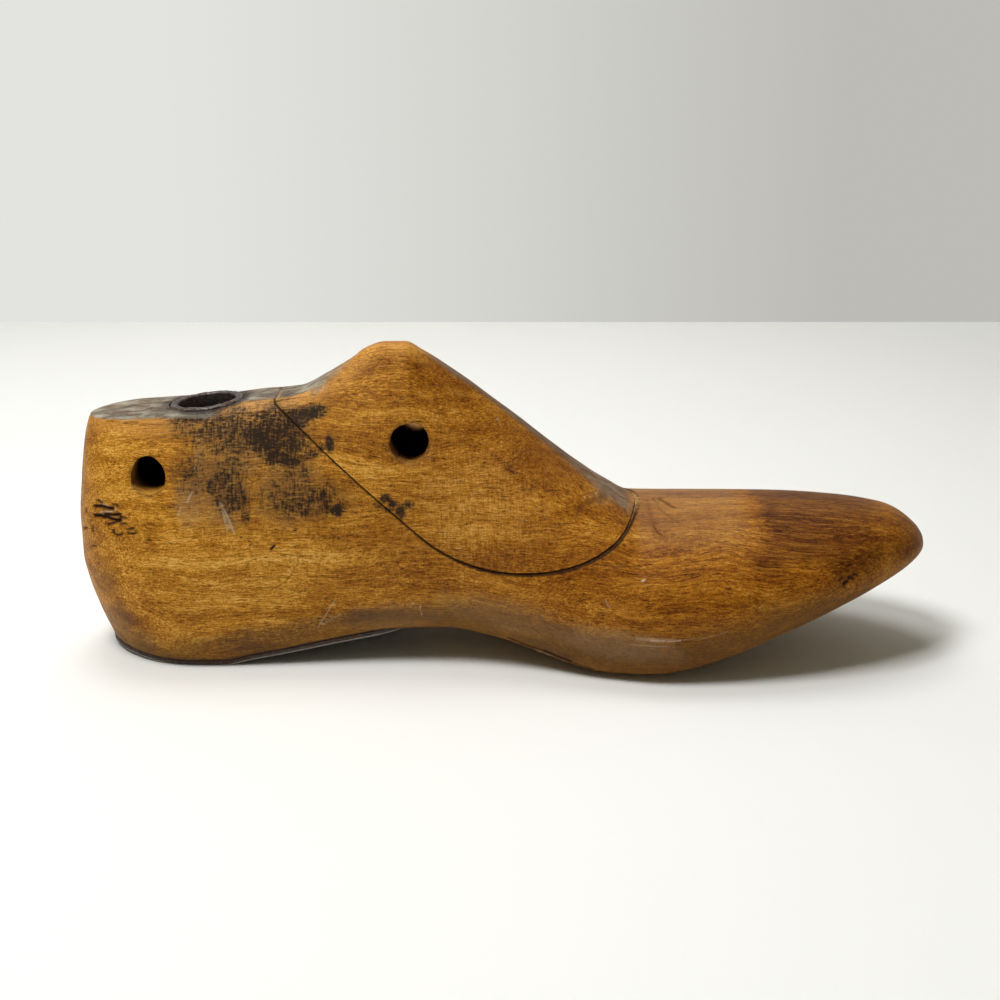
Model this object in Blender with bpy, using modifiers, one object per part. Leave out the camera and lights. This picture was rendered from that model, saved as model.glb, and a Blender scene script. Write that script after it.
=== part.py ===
"""Wooden cobbler's last with a lift-off instep block, a jack thimble and an iron heel plate.

The last rests on its heel plate and on the ball of the sole.
+X points to the toe, +Z up; the arch side of this left last faces -Y.
"""
import bpy
import bmesh
import math
from mathutils import Matrix, Vector

# Overall sizes of the last, in metres. Stations are parts of its length, from the heel.
LAST_LENGTH = 0.2400
HEEL_TOP_HEIGHT = 0.0699
PEAK_HEIGHT = 0.0874
VAMP_HEIGHT = 0.0430
TIP_HEIGHT = 0.0298
ARCH_RISE = 0.0094
EDGE_LIFT = 0.0034
HEEL_WIDTH = 0.0525
BALL_WIDTH = 0.0765
HEEL_TOP_WIDTH = 0.0236
RIDGE_WIDTH = 0.0050
TIP_SWING = 0.0030

# Worn flats that the last rests on
TREAD_WEAR = 0.0003

# Iron heel plate and its nails
PLATE_THICKNESS = 0.0014
PLATE_INSET = 0.0005
PLATE_FRONT = 0.400
PLATE_FRONT_ROUND = 0.060
NAIL_HEAD_RADIUS = 0.0019
NAIL_HEAD_RIM = 0.0003
NAIL_HEAD_SLOPE = 0.75
NAIL_SHANK_RADIUS = 0.0008
NAIL_TIP_RADIUS = 0.00016
NAIL_POINT = 0.0025
NAIL_LENGTH = 0.0110
NAIL_SINK = 0.0001
NAIL_EDGE = 0.0042

# Jack thimble
THIMBLE_BORE = 0.0160
THIMBLE_WALL = 0.0013
THIMBLE_DEPTH = 0.0420
THIMBLE_STATION = 0.1560
THIMBLE_SHIFT = 0.0006
LIP_REACH = 0.0010
LIP_THICKNESS = 0.0014
LIP_RISE = 0.0007
LIP_ROUND = 0.0004
THIMBLE_TILT = math.radians(5.5)
THIMBLE_END_ROOM = 0.0025

# Cross holes for the last hook
HEEL_HOLE_RADIUS = 0.0049
HEEL_HOLE_STATION = 0.1005
HEEL_HOLE_HEIGHT = 0.0539
BLOCK_HOLE_RADIUS = 0.0053
BLOCK_HOLE_STATION = 0.3959
BLOCK_HOLE_HEIGHT = 0.0626

# Saw cut between the body and the block: a straight run into a scoop, rounder at its back
CUT_ANGLE = math.radians(40.1)
CUT_BACK_RADIUS = 0.0365
CUT_FRONT_RADIUS = 0.0587
CUT_LOW_STATION = 0.5069
CUT_LOW_HEIGHT = 0.0292
CUT_END_ANGLE = math.radians(56.0)
KERF_BACK = 0.0002
KERF_UP = 0.0007
LIFT_ANGLE = math.radians(48.0)

# Steel pin in the body and its brass bush in the block
PIN_STATION = 0.4900
PIN_RADIUS = 0.0025
PIN_BURIED = 0.0150
PIN_STANDING = 0.0130
PIN_NOSE = 0.0008
BUSH_WALL = 0.0011
BUSH_LENGTH = 0.0150

# Clearance between fitted pieces
GAP = 0.0003

# How finely the shapes are drawn
BOTTOM_STEPS = 4
LOWER_STEPS = 5
UPPER_STEPS = 11
TOP_STEPS = 2
END_STEPS = 9
FRONT_STEPS = 6
TOE_STEPS = 17
BODY_STATIONS = 17
CUT_STEPS = 26
ROUND_STEPS = 32
SMALL_ROUND_STEPS = 16
SHARP_ANGLE = math.radians(32.0)
MERGE = 0.00001
NORMAL_STEP = 0.004

# How far the cutters reach past the last, and past a nail's head
REACH = 0.1000
HEAD_REACH = 0.0050

HEEL_HALF = HEEL_WIDTH / 2
BALL_HALF = BALL_WIDTH / 2
HEEL_TOP_HALF = HEEL_TOP_WIDTH / 2
RIDGE_HALF = RIDGE_WIDTH / 2
SOLE_ON_PLATE = PLATE_THICKNESS + GAP

# The round ends: how far each rounding runs, as a part of the length
HEEL_ROUND = 0.130
HEEL_TOP_ROUND = 0.055
TOE_ROUND = 0.350
NOSE_ROUND = 0.050
ROUND_POWER = 2.15
TOE_POWER = 2.00
TOP_CROWN = 0.05

# Each line below runs from heel to toe: (part of the length, value)
SOLE_LINE = [
    (0.000, SOLE_ON_PLATE + 0.10 * ARCH_RISE),
    (0.070, SOLE_ON_PLATE + 0.02 * ARCH_RISE),
    (0.100, SOLE_ON_PLATE - TREAD_WEAR),
    (0.165, SOLE_ON_PLATE - TREAD_WEAR),
    (0.205, SOLE_ON_PLATE + 0.13 * ARCH_RISE),
    (0.255, SOLE_ON_PLATE + 0.33 * ARCH_RISE),
    (0.310, SOLE_ON_PLATE + 0.56 * ARCH_RISE),
    (0.370, SOLE_ON_PLATE + 0.76 * ARCH_RISE),
    (0.430, 0.97 * ARCH_RISE),
    (0.490, 0.70 * ARCH_RISE),
    (0.540, 0.32 * ARCH_RISE),
    (0.585, 0.05 * ARCH_RISE),
    (0.620, -TREAD_WEAR),
    (0.680, -TREAD_WEAR),
    (0.710, 0.03 * TIP_HEIGHT),
    (0.760, 0.14 * TIP_HEIGHT),
    (0.830, 0.35 * TIP_HEIGHT),
    (0.900, 0.59 * TIP_HEIGHT),
    (0.955, 0.79 * TIP_HEIGHT),
    (1.000, 0.93 * TIP_HEIGHT),
]
EDGE_LIFT_LINE = [
    (0.000, 0.06 * EDGE_LIFT),
    (0.200, 0.06 * EDGE_LIFT),
    (0.350, 0.18 * EDGE_LIFT),
    (0.450, 0.24 * EDGE_LIFT),
    (0.540, 0.41 * EDGE_LIFT),
    (0.620, 0.59 * EDGE_LIFT),
    (0.700, 0.76 * EDGE_LIFT),
    (0.820, 1.00 * EDGE_LIFT),
    (0.920, 0.71 * EDGE_LIFT),
    (1.000, 0.24 * EDGE_LIFT),
]
ARCH_SOLE_WIDTH_LINE = [
    (0.000, 0.80 * HEEL_HALF),
    (0.080, 0.885 * HEEL_HALF),
    (0.145, 0.90 * HEEL_HALF),
    (0.250, 0.85 * HEEL_HALF),
    (0.340, 0.77 * HEEL_HALF),
    (0.430, 0.73 * HEEL_HALF),
    (0.480, 0.52 * BALL_HALF),
    (0.540, 0.635 * BALL_HALF),
    (0.600, 0.775 * BALL_HALF),
    (0.665, 0.850 * BALL_HALF),
    (0.740, 0.865 * BALL_HALF),
    (0.850, 0.850 * BALL_HALF),
    (1.000, 0.780 * BALL_HALF),
]
OUTER_SOLE_WIDTH_LINE = [
    (0.000, 0.80 * HEEL_HALF),
    (0.080, 0.89 * HEEL_HALF),
    (0.145, 0.92 * HEEL_HALF),
    (0.250, 0.95 * HEEL_HALF),
    (0.340, 1.00 * HEEL_HALF),
    (0.430, 1.11 * HEEL_HALF),
    (0.520, 0.86 * BALL_HALF),
    (0.600, 0.94 * BALL_HALF),
    (0.655, 0.93 * BALL_HALF),
    (0.740, 0.885 * BALL_HALF),
    (0.850, 0.855 * BALL_HALF),
    (1.000, 0.800 * BALL_HALF),
]
ARCH_WIDTH_LINE = [
    (0.000, 0.97 * HEEL_HALF),
    (0.140, 1.00 * HEEL_HALF),
    (0.250, 0.965 * HEEL_HALF),
    (0.350, 0.93 * HEEL_HALF),
    (0.430, 0.96 * HEEL_HALF),
    (0.520, 0.765 * BALL_HALF),
    (0.600, 0.895 * BALL_HALF),
    (0.675, 0.976 * BALL_HALF),
    (0.760, 0.985 * BALL_HALF),
    (0.860, 0.970 * BALL_HALF),
    (1.000, 0.900 * BALL_HALF),
]
OUTER_WIDTH_LINE = [
    (0.000, 0.98 * HEEL_HALF),
    (0.140, 1.00 * HEEL_HALF),
    (0.250, 1.04 * HEEL_HALF),
    (0.350, 1.10 * HEEL_HALF),
    (0.430, 1.20 * HEEL_HALF),
    (0.520, 0.935 * BALL_HALF),
    (0.600, 1.02 * BALL_HALF),
    (0.660, 1.024 * BALL_HALF),
    (0.750, 0.995 * BALL_HALF),
    (0.860, 0.970 * BALL_HALF),
    (1.000, 0.920 * BALL_HALF),
]
WIDEST_HEIGHT_LINE = [
    (0.000, 0.37 * HEEL_TOP_HEIGHT),
    (0.250, 0.36 * HEEL_TOP_HEIGHT),
    (0.400, 0.37 * HEEL_TOP_HEIGHT),
    (0.520, 0.34 * HEEL_TOP_HEIGHT),
    (0.600, 0.45 * VAMP_HEIGHT),
    (0.690, 0.42 * VAMP_HEIGHT),
    (0.770, 0.46 * VAMP_HEIGHT),
    (0.860, 0.58 * VAMP_HEIGHT),
    (0.930, 0.94 * TIP_HEIGHT),
    (1.000, 1.02 * TIP_HEIGHT),
]
TOP_LINE = [
    (0.000, 0.960 * HEEL_TOP_HEIGHT),
    (0.045, 0.977 * HEEL_TOP_HEIGHT),
    (0.100, 0.988 * HEEL_TOP_HEIGHT),
    (0.160, 1.000 * HEEL_TOP_HEIGHT),
    (0.215, 1.021 * HEEL_TOP_HEIGHT),
    (0.262, 1.043 * HEEL_TOP_HEIGHT),
    (0.295, 0.882 * PEAK_HEIGHT),
    (0.322, 0.931 * PEAK_HEIGHT),
    (0.343, 0.974 * PEAK_HEIGHT),
    (0.365, 0.993 * PEAK_HEIGHT),
    (0.388, 0.994 * PEAK_HEIGHT),
    (0.408, 0.966 * PEAK_HEIGHT),
    (0.450, 0.890 * PEAK_HEIGHT),
    (0.505, 0.776 * PEAK_HEIGHT),
    (0.550, 0.678 * PEAK_HEIGHT),
    (0.590, 0.594 * PEAK_HEIGHT),
    (0.625, 0.526 * PEAK_HEIGHT),
    (0.655, 0.976 * VAMP_HEIGHT),
    (0.710, 0.967 * VAMP_HEIGHT),
    (0.780, 0.970 * VAMP_HEIGHT),
    (0.850, 0.968 * VAMP_HEIGHT),
    (0.905, 0.960 * VAMP_HEIGHT),
    (0.950, 0.935 * VAMP_HEIGHT),
    (1.000, 0.870 * VAMP_HEIGHT),
]
TOP_WIDTH_LINE = [
    (0.000, 0.92 * HEEL_TOP_HALF),
    (0.060, 0.96 * HEEL_TOP_HALF),
    (0.150, 1.00 * HEEL_TOP_HALF),
    (0.215, 0.94 * HEEL_TOP_HALF),
    (0.265, 0.72 * HEEL_TOP_HALF),
    (0.310, 0.46 * HEEL_TOP_HALF),
    (0.345, 1.20 * RIDGE_HALF),
    (0.400, 1.00 * RIDGE_HALF),
    (0.520, 1.00 * RIDGE_HALF),
    (0.600, 0.90 * RIDGE_HALF),
    (0.660, 1.00 * RIDGE_HALF),
    (0.740, 1.40 * RIDGE_HALF),
    (0.900, 1.60 * RIDGE_HALF),
    (1.000, 1.40 * RIDGE_HALF),
]
FULLNESS_LINE = [
    (0.000, 2.00),
    (0.200, 1.90),
    (0.300, 1.85),
    (0.500, 1.85),
    (0.590, 1.95),
    (0.660, 2.05),
    (1.000, 2.05),
]
SHOULDER_LINE = [
    (0.000, 0.96),
    (0.250, 0.96),
    (0.340, 0.86),
    (0.480, 0.84),
    (0.580, 0.74),
    (0.640, 0.62),
    (0.720, 0.56),
    (1.000, 0.52),
]
SWING_LINE = [
    (0.000, 0.00),
    (0.500, 0.00),
    (0.700, 0.30),
    (1.000, 1.00),
]
BACK_LINE = [
    (0.000, 0.0292),
    (0.070, 0.0238),
    (0.170, 0.0142),
    (0.285, 0.0050),
    (0.400, 0.0000),
    (0.540, 0.0003),
    (0.700, 0.0053),
    (0.860, 0.0122),
    (0.960, 0.0200),
    (1.000, 0.0320),
]
BACK_FADE = 0.260
LOWER_ROLL = 0.70
LOWER_POWER = 2.2
SOLE_POWER = 2.4

# Nail places round the plate: (part of the plate's length, side)
NAIL_PLACES = [
    (0.090, 0.0),
    (0.190, -1.0),
    (0.190, 1.0),
    (0.400, -1.0),
    (0.400, 1.0),
    (0.640, -1.0),
    (0.640, 1.0),
    (0.900, -1.0),
    (0.900, 1.0),
]


def place(station):
    """Distance in front of the last's middle."""
    return (station - 0.5) * LAST_LENGTH


def along(line, where):
    """Read a heel-to-toe line at one place, without overshoot between its points."""
    if where <= line[0][0]:
        return line[0][1]
    if where >= line[-1][0]:
        return line[-1][1]
    slopes = []
    for i in range(len(line) - 1):
        (x0, v0), (x1, v1) = line[i], line[i + 1]
        slopes.append((v1 - v0) / (x1 - x0))
    index = 0
    while where > line[index + 1][0]:
        index += 1

    def tangent(i):
        if i == 0:
            return slopes[0]
        if i == len(line) - 1:
            return slopes[-1]
        before, after = slopes[i - 1], slopes[i]
        if before * after <= 0:
            return 0.0
        return 2 * before * after / (before + after)

    (x0, v0), (x1, v1) = line[index], line[index + 1]
    span = x1 - x0
    s = (where - x0) / span
    rise = (2 * s - 3) * s * s
    return ((1 + rise) * v0 - rise * v1
            + s * (1 - s) ** 2 * span * tangent(index)
            + s * s * (s - 1) * span * tangent(index + 1))


def rounded_end(distance, run, power):
    """Width left at a distance from a round end: 0 at the end, 1 from the run on."""
    if distance >= run:
        return 1.0
    left = 1 - max(distance, 0.0) / run
    return (1 - left ** power) ** (1 / power)


def smooth_fade(distance, run):
    """1 at the start, 0 from the run on."""
    s = min(max(distance / run, 0.0), 1.0)
    return 1 - s * s * (3 - 2 * s)


def section(station):
    """Sizes of the last's cross-section at one station."""
    heel_end = rounded_end(station, HEEL_ROUND, ROUND_POWER)
    toe_end = rounded_end(1 - station, TOE_ROUND, TOE_POWER)
    nose = rounded_end(1 - station, NOSE_ROUND, ROUND_POWER)
    width = heel_end * toe_end
    sole = along(SOLE_LINE, station)
    edge = sole + along(EDGE_LIFT_LINE, station)
    top = along(TOP_LINE, station)
    widest = along(WIDEST_HEIGHT_LINE, station)
    top_half = along(TOP_WIDTH_LINE, station) * toe_end * rounded_end(station, HEEL_TOP_ROUND, ROUND_POWER)
    return {
        "sole": TIP_HEIGHT + (sole - TIP_HEIGHT) * nose,
        "edge": TIP_HEIGHT + (edge - TIP_HEIGHT) * nose,
        "top": TIP_HEIGHT + (top - TIP_HEIGHT) * nose,
        "widest": TIP_HEIGHT + (widest - TIP_HEIGHT) * nose,
        "middle": -TIP_SWING * along(SWING_LINE, station),
        "top_half": top_half,
        "crown": TOP_CROWN * top_half,
        "fullness": along(FULLNESS_LINE, station),
        "shoulder": along(SHOULDER_LINE, station),
        -1: (along(ARCH_SOLE_WIDTH_LINE, station) * width, along(ARCH_WIDTH_LINE, station) * width),
        1: (along(OUTER_SOLE_WIDTH_LINE, station) * width, along(OUTER_WIDTH_LINE, station) * width),
    }


def half_section(station, side):
    """Points from the middle of the sole, round one side, to the middle of the top."""
    size = section(station)
    sole_half, wide_half = size[side]
    points = []
    for i in range(BOTTOM_STEPS):
        across = i / BOTTOM_STEPS
        lift = (size["edge"] - size["sole"]) * across ** SOLE_POWER
        points.append((sole_half * across, size["sole"] + lift))
    for i in range(LOWER_STEPS):
        down = 1 - i / LOWER_STEPS
        out = (1 - down ** LOWER_POWER) ** LOWER_ROLL
        drop = (size["widest"] - size["edge"]) * down
        points.append((sole_half + (wide_half - sole_half) * out, size["widest"] - drop))
    for i in range(UPPER_STEPS + 1):
        up = math.sin(math.pi / 2 * i / UPPER_STEPS)
        out = max(1 - up ** size["fullness"], 0.0) ** size["shoulder"]
        rise = (size["top"] - size["widest"]) * up
        points.append((size["top_half"] + (wide_half - size["top_half"]) * out, size["widest"] + rise))
    for i in range(1, TOP_STEPS + 1):
        across = 1 - i / TOP_STEPS
        points.append((size["top_half"] * across, size["top"] + size["crown"] * (1 - across ** 2)))
    placed = []
    for across, height in points:
        placed.append(Vector((place(station) + back_shift(station, height),
                              size["middle"] + side * across, height)))
    return placed


def back_shift(station, height):
    """How far the heel back leans in at this height, fading out towards the waist."""
    lean = along(BACK_LINE, height / HEEL_TOP_HEIGHT) * LAST_LENGTH
    return lean * smooth_fade(station, BACK_FADE)


def body_stations():
    """Stations close together at the round ends and even between them."""
    stations = []
    for i in range(END_STEPS):
        turn = math.pi / 2 * (i + 0.35) / END_STEPS
        stations.append(HEEL_ROUND * (1 - math.cos(turn)))
    first, last = HEEL_ROUND, 1 - TOE_ROUND
    for i in range(BODY_STATIONS + 1):
        stations.append(first + (last - first) * i / BODY_STATIONS)
    for i in range(TOE_STEPS - 1, -1, -1):
        turn = math.pi / 2 * (i + 0.35) / TOE_STEPS
        stations.append(1 - TOE_ROUND * (1 - math.cos(turn)))
    return stations


def skin_rings(bm, rings):
    """Join rings of vertices with faces and close both ends across their halves."""
    count = len(rings[0])
    for near, far in zip(rings, rings[1:]):
        for i in range(count):
            j = (i + 1) % count
            bm.faces.new((near[i], near[j], far[j], far[i]))
    half = count // 2
    for ring in (rings[0], rings[-1]):
        for i in range(half):
            corners = [ring[i], ring[i + 1], ring[(count - i - 1) % count], ring[(count - i) % count]]
            if i == 0:
                corners.pop(3)
            if i == half - 1:
                corners.pop(2)
            bm.faces.new(corners)


def new_object(name, bm, material, collection):
    """Put a finished mesh into the scene with outward normals."""
    bmesh.ops.recalc_face_normals(bm, faces=bm.faces)
    mesh = bpy.data.meshes.new(name)
    bm.to_mesh(mesh)
    bm.free()
    mesh.shade_smooth()
    mesh.set_sharp_from_angle(angle=SHARP_ANGLE)
    obj = bpy.data.objects.new(name, mesh)
    collection.objects.link(obj)
    if material:
        mesh.materials.append(material)
    return obj


def make_material(name, colour, roughness, metallic):
    material = bpy.data.materials.new(name)
    material.use_nodes = True
    shader = material.node_tree.nodes["Principled BSDF"]
    shader.inputs["Base Color"].default_value = (*colour, 1.0)
    shader.inputs["Roughness"].default_value = roughness
    shader.inputs["Metallic"].default_value = metallic
    return material


def last_shape(name, material, collection):
    """The whole last in one piece, before it is sawn."""
    bm = bmesh.new()
    rings = []
    for station in body_stations():
        arch = half_section(station, -1)
        outer = half_section(station, 1)
        loop = arch + outer[-2:0:-1]
        rings.append([bm.verts.new(point) for point in loop])
    skin_rings(bm, rings)
    return new_object(name, bm, material, collection)


def turned(name, profile, steps, material, collection, start, direction):
    """A profile of (radius, distance) points turned round the line from start along direction.

    The profile runs back down its outer side. It ends on the line, or else it is closed to a ring.
    """
    bm = bmesh.new()
    turn = math.pi / steps
    points = [bm.verts.new((radius * math.cos(turn), radius * math.sin(turn), distance))
              for radius, distance in profile]
    for near, far in zip(points, points[1:]):
        bm.edges.new((near, far))
    if profile[0][0] > 0:
        bm.edges.new((points[-1], points[0]))
    obj = new_object(name, bm, material, collection)
    screw = obj.modifiers.new("turn", "SCREW")
    screw.axis = "Z"
    screw.steps = steps
    screw.render_steps = steps
    screw.use_merge_vertices = True
    screw.merge_threshold = MERGE
    screw.use_smooth_shade = True
    stand_on_line(obj, start, direction)
    return obj


def stand_on_line(obj, start, direction):
    """Put an object's origin at start and turn its Z along direction."""
    obj.location = start
    obj.rotation_mode = "QUATERNION"
    obj.rotation_quaternion = Vector((0, 0, 1)).rotation_difference(direction)


def lipped_tube(inner, outer, low, high):
    """Profile of a round tube with a rolled lip, whose face stands above the low end."""
    lip = outer + LIP_REACH
    face = low - LIP_RISE
    back = face + LIP_THICKNESS
    return [(inner, high), (outer, high), (outer, back), (lip, back), (lip, face + LIP_ROUND),
            (lip - LIP_ROUND, face), (inner + LIP_ROUND, face), (inner, face + LIP_ROUND)]


def rod(radius, low, high):
    """Profile of a plain round rod."""
    return [(0, high), (radius, high), (radius, low), (0, low)]


def tube(inner, outer, low, high):
    """Profile of a round tube."""
    return [(inner, high), (outer, high), (outer, low), (inner, low)]


def extruded(name, outline, half_depth, collection):
    """A prism across the last from an outline in the XZ plane."""
    bm = bmesh.new()
    face = bm.faces.new([bm.verts.new((x, -half_depth, z)) for x, z in outline])
    made = bmesh.ops.extrude_face_region(bm, geom=[face])
    moved = [item for item in made["geom"] if isinstance(item, bmesh.types.BMVert)]
    bmesh.ops.translate(bm, verts=moved, vec=(0, 2 * half_depth, 0))
    return new_object(name, bm, None, collection)


def box(name, low, high, collection):
    bm = bmesh.new()
    bmesh.ops.create_cube(bm, size=1.0)
    size = Vector(high) - Vector(low)
    bmesh.ops.scale(bm, vec=size, verts=bm.verts)
    bmesh.ops.translate(bm, vec=(Vector(high) + Vector(low)) / 2, verts=bm.verts)
    return new_object(name, bm, None, collection)


def boolean(target, cutter, operation="DIFFERENCE", solver="EXACT"):
    modifier = target.modifiers.new(cutter.name, "BOOLEAN")
    modifier.operation = operation
    modifier.solver = solver
    modifier.object = cutter


def cut_outline(back, up):
    """The saw line moved back and up by the kerf, closed well above the last."""
    low_x = place(CUT_LOW_STATION)
    arc = []
    for i in range(CUT_STEPS + 1):
        angle = -CUT_ANGLE + (CUT_END_ANGLE + CUT_ANGLE) * i / CUT_STEPS
        radius = CUT_BACK_RADIUS if angle < 0 else CUT_FRONT_RADIUS
        arc.append((low_x + radius * math.sin(angle), CUT_LOW_HEIGHT + radius * (1 - math.cos(angle))))
    above = (arc[0][0] - REACH * math.cos(CUT_ANGLE), arc[0][1] + REACH * math.sin(CUT_ANGLE))
    points = [above] + arc + [(arc[-1][0], REACH * 2), (above[0], REACH * 2)]
    return [(x - back, z + up) for x, z in points]


def cut_height(station):
    """Height of the scoop's floor at a station."""
    across = (station - CUT_LOW_STATION) * LAST_LENGTH
    radius = CUT_BACK_RADIUS if across < 0 else CUT_FRONT_RADIUS
    return CUT_LOW_HEIGHT + radius - math.sqrt(radius ** 2 - across ** 2)


def plate_shape(name, material, collection):
    """Thin iron plate that follows the heel seat and the start of the waist."""
    stations = [station for station in body_stations() if station < PLATE_FRONT - PLATE_FRONT_ROUND]
    for i in range(FRONT_STEPS + 1):
        turn = math.pi / 2 * (FRONT_STEPS - i + 0.25) / (FRONT_STEPS + 0.25)
        stations.append(PLATE_FRONT - PLATE_FRONT_ROUND * (1 - math.cos(turn)))
    bm = bmesh.new()
    rings = []
    for station in stations:
        top_row = [plate_point(station, k / BOTTOM_STEPS) for k in range(-BOTTOM_STEPS, BOTTOM_STEPS + 1)]
        low_row = [point - Vector((0, 0, PLATE_THICKNESS)) for point in top_row]
        rings.append([bm.verts.new(point) for point in top_row + low_row[::-1]])
    for near, far in zip(rings, rings[1:]):
        for i in range(len(near)):
            j = (i + 1) % len(near)
            bm.faces.new((near[i], near[j], far[j], far[i]))
    bm.faces.new(rings[0])
    bm.faces.new(rings[-1])
    return new_object(name, bm, material, collection)


def plate_point(station, across):
    """A point on the plate's upper face; across runs from -1 at the arch side to 1."""
    size = section(station)
    side = -1 if across < 0 else 1
    front = rounded_end(PLATE_FRONT - station, PLATE_FRONT_ROUND, ROUND_POWER)
    half = (size[side][0] - PLATE_INSET * rounded_end(station, HEEL_ROUND, ROUND_POWER)) * front
    lift = (size["edge"] - size["sole"]) * abs(across * half / size[side][0]) ** SOLE_POWER
    height = size["sole"] + lift - GAP
    x = place(station) + back_shift(station, height)
    return Vector((x, size["middle"] + across * half, height))


def plate_normal(station, across):
    """Upward direction square to the plate at one point."""
    ahead = plate_point(station + NORMAL_STEP, across) - plate_point(station - NORMAL_STEP, across)
    sideways = plate_point(station, across + NORMAL_STEP) - plate_point(station, across - NORMAL_STEP)
    return ahead.cross(sideways).normalized()


def nail_across(station, side):
    """Where a nail sits across the plate, a set distance in from its edge."""
    if side == 0:
        return 0.0
    edge = abs(plate_point(station, side).y - plate_point(station, 0).y)
    return side * (1 - NAIL_EDGE / edge)


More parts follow.
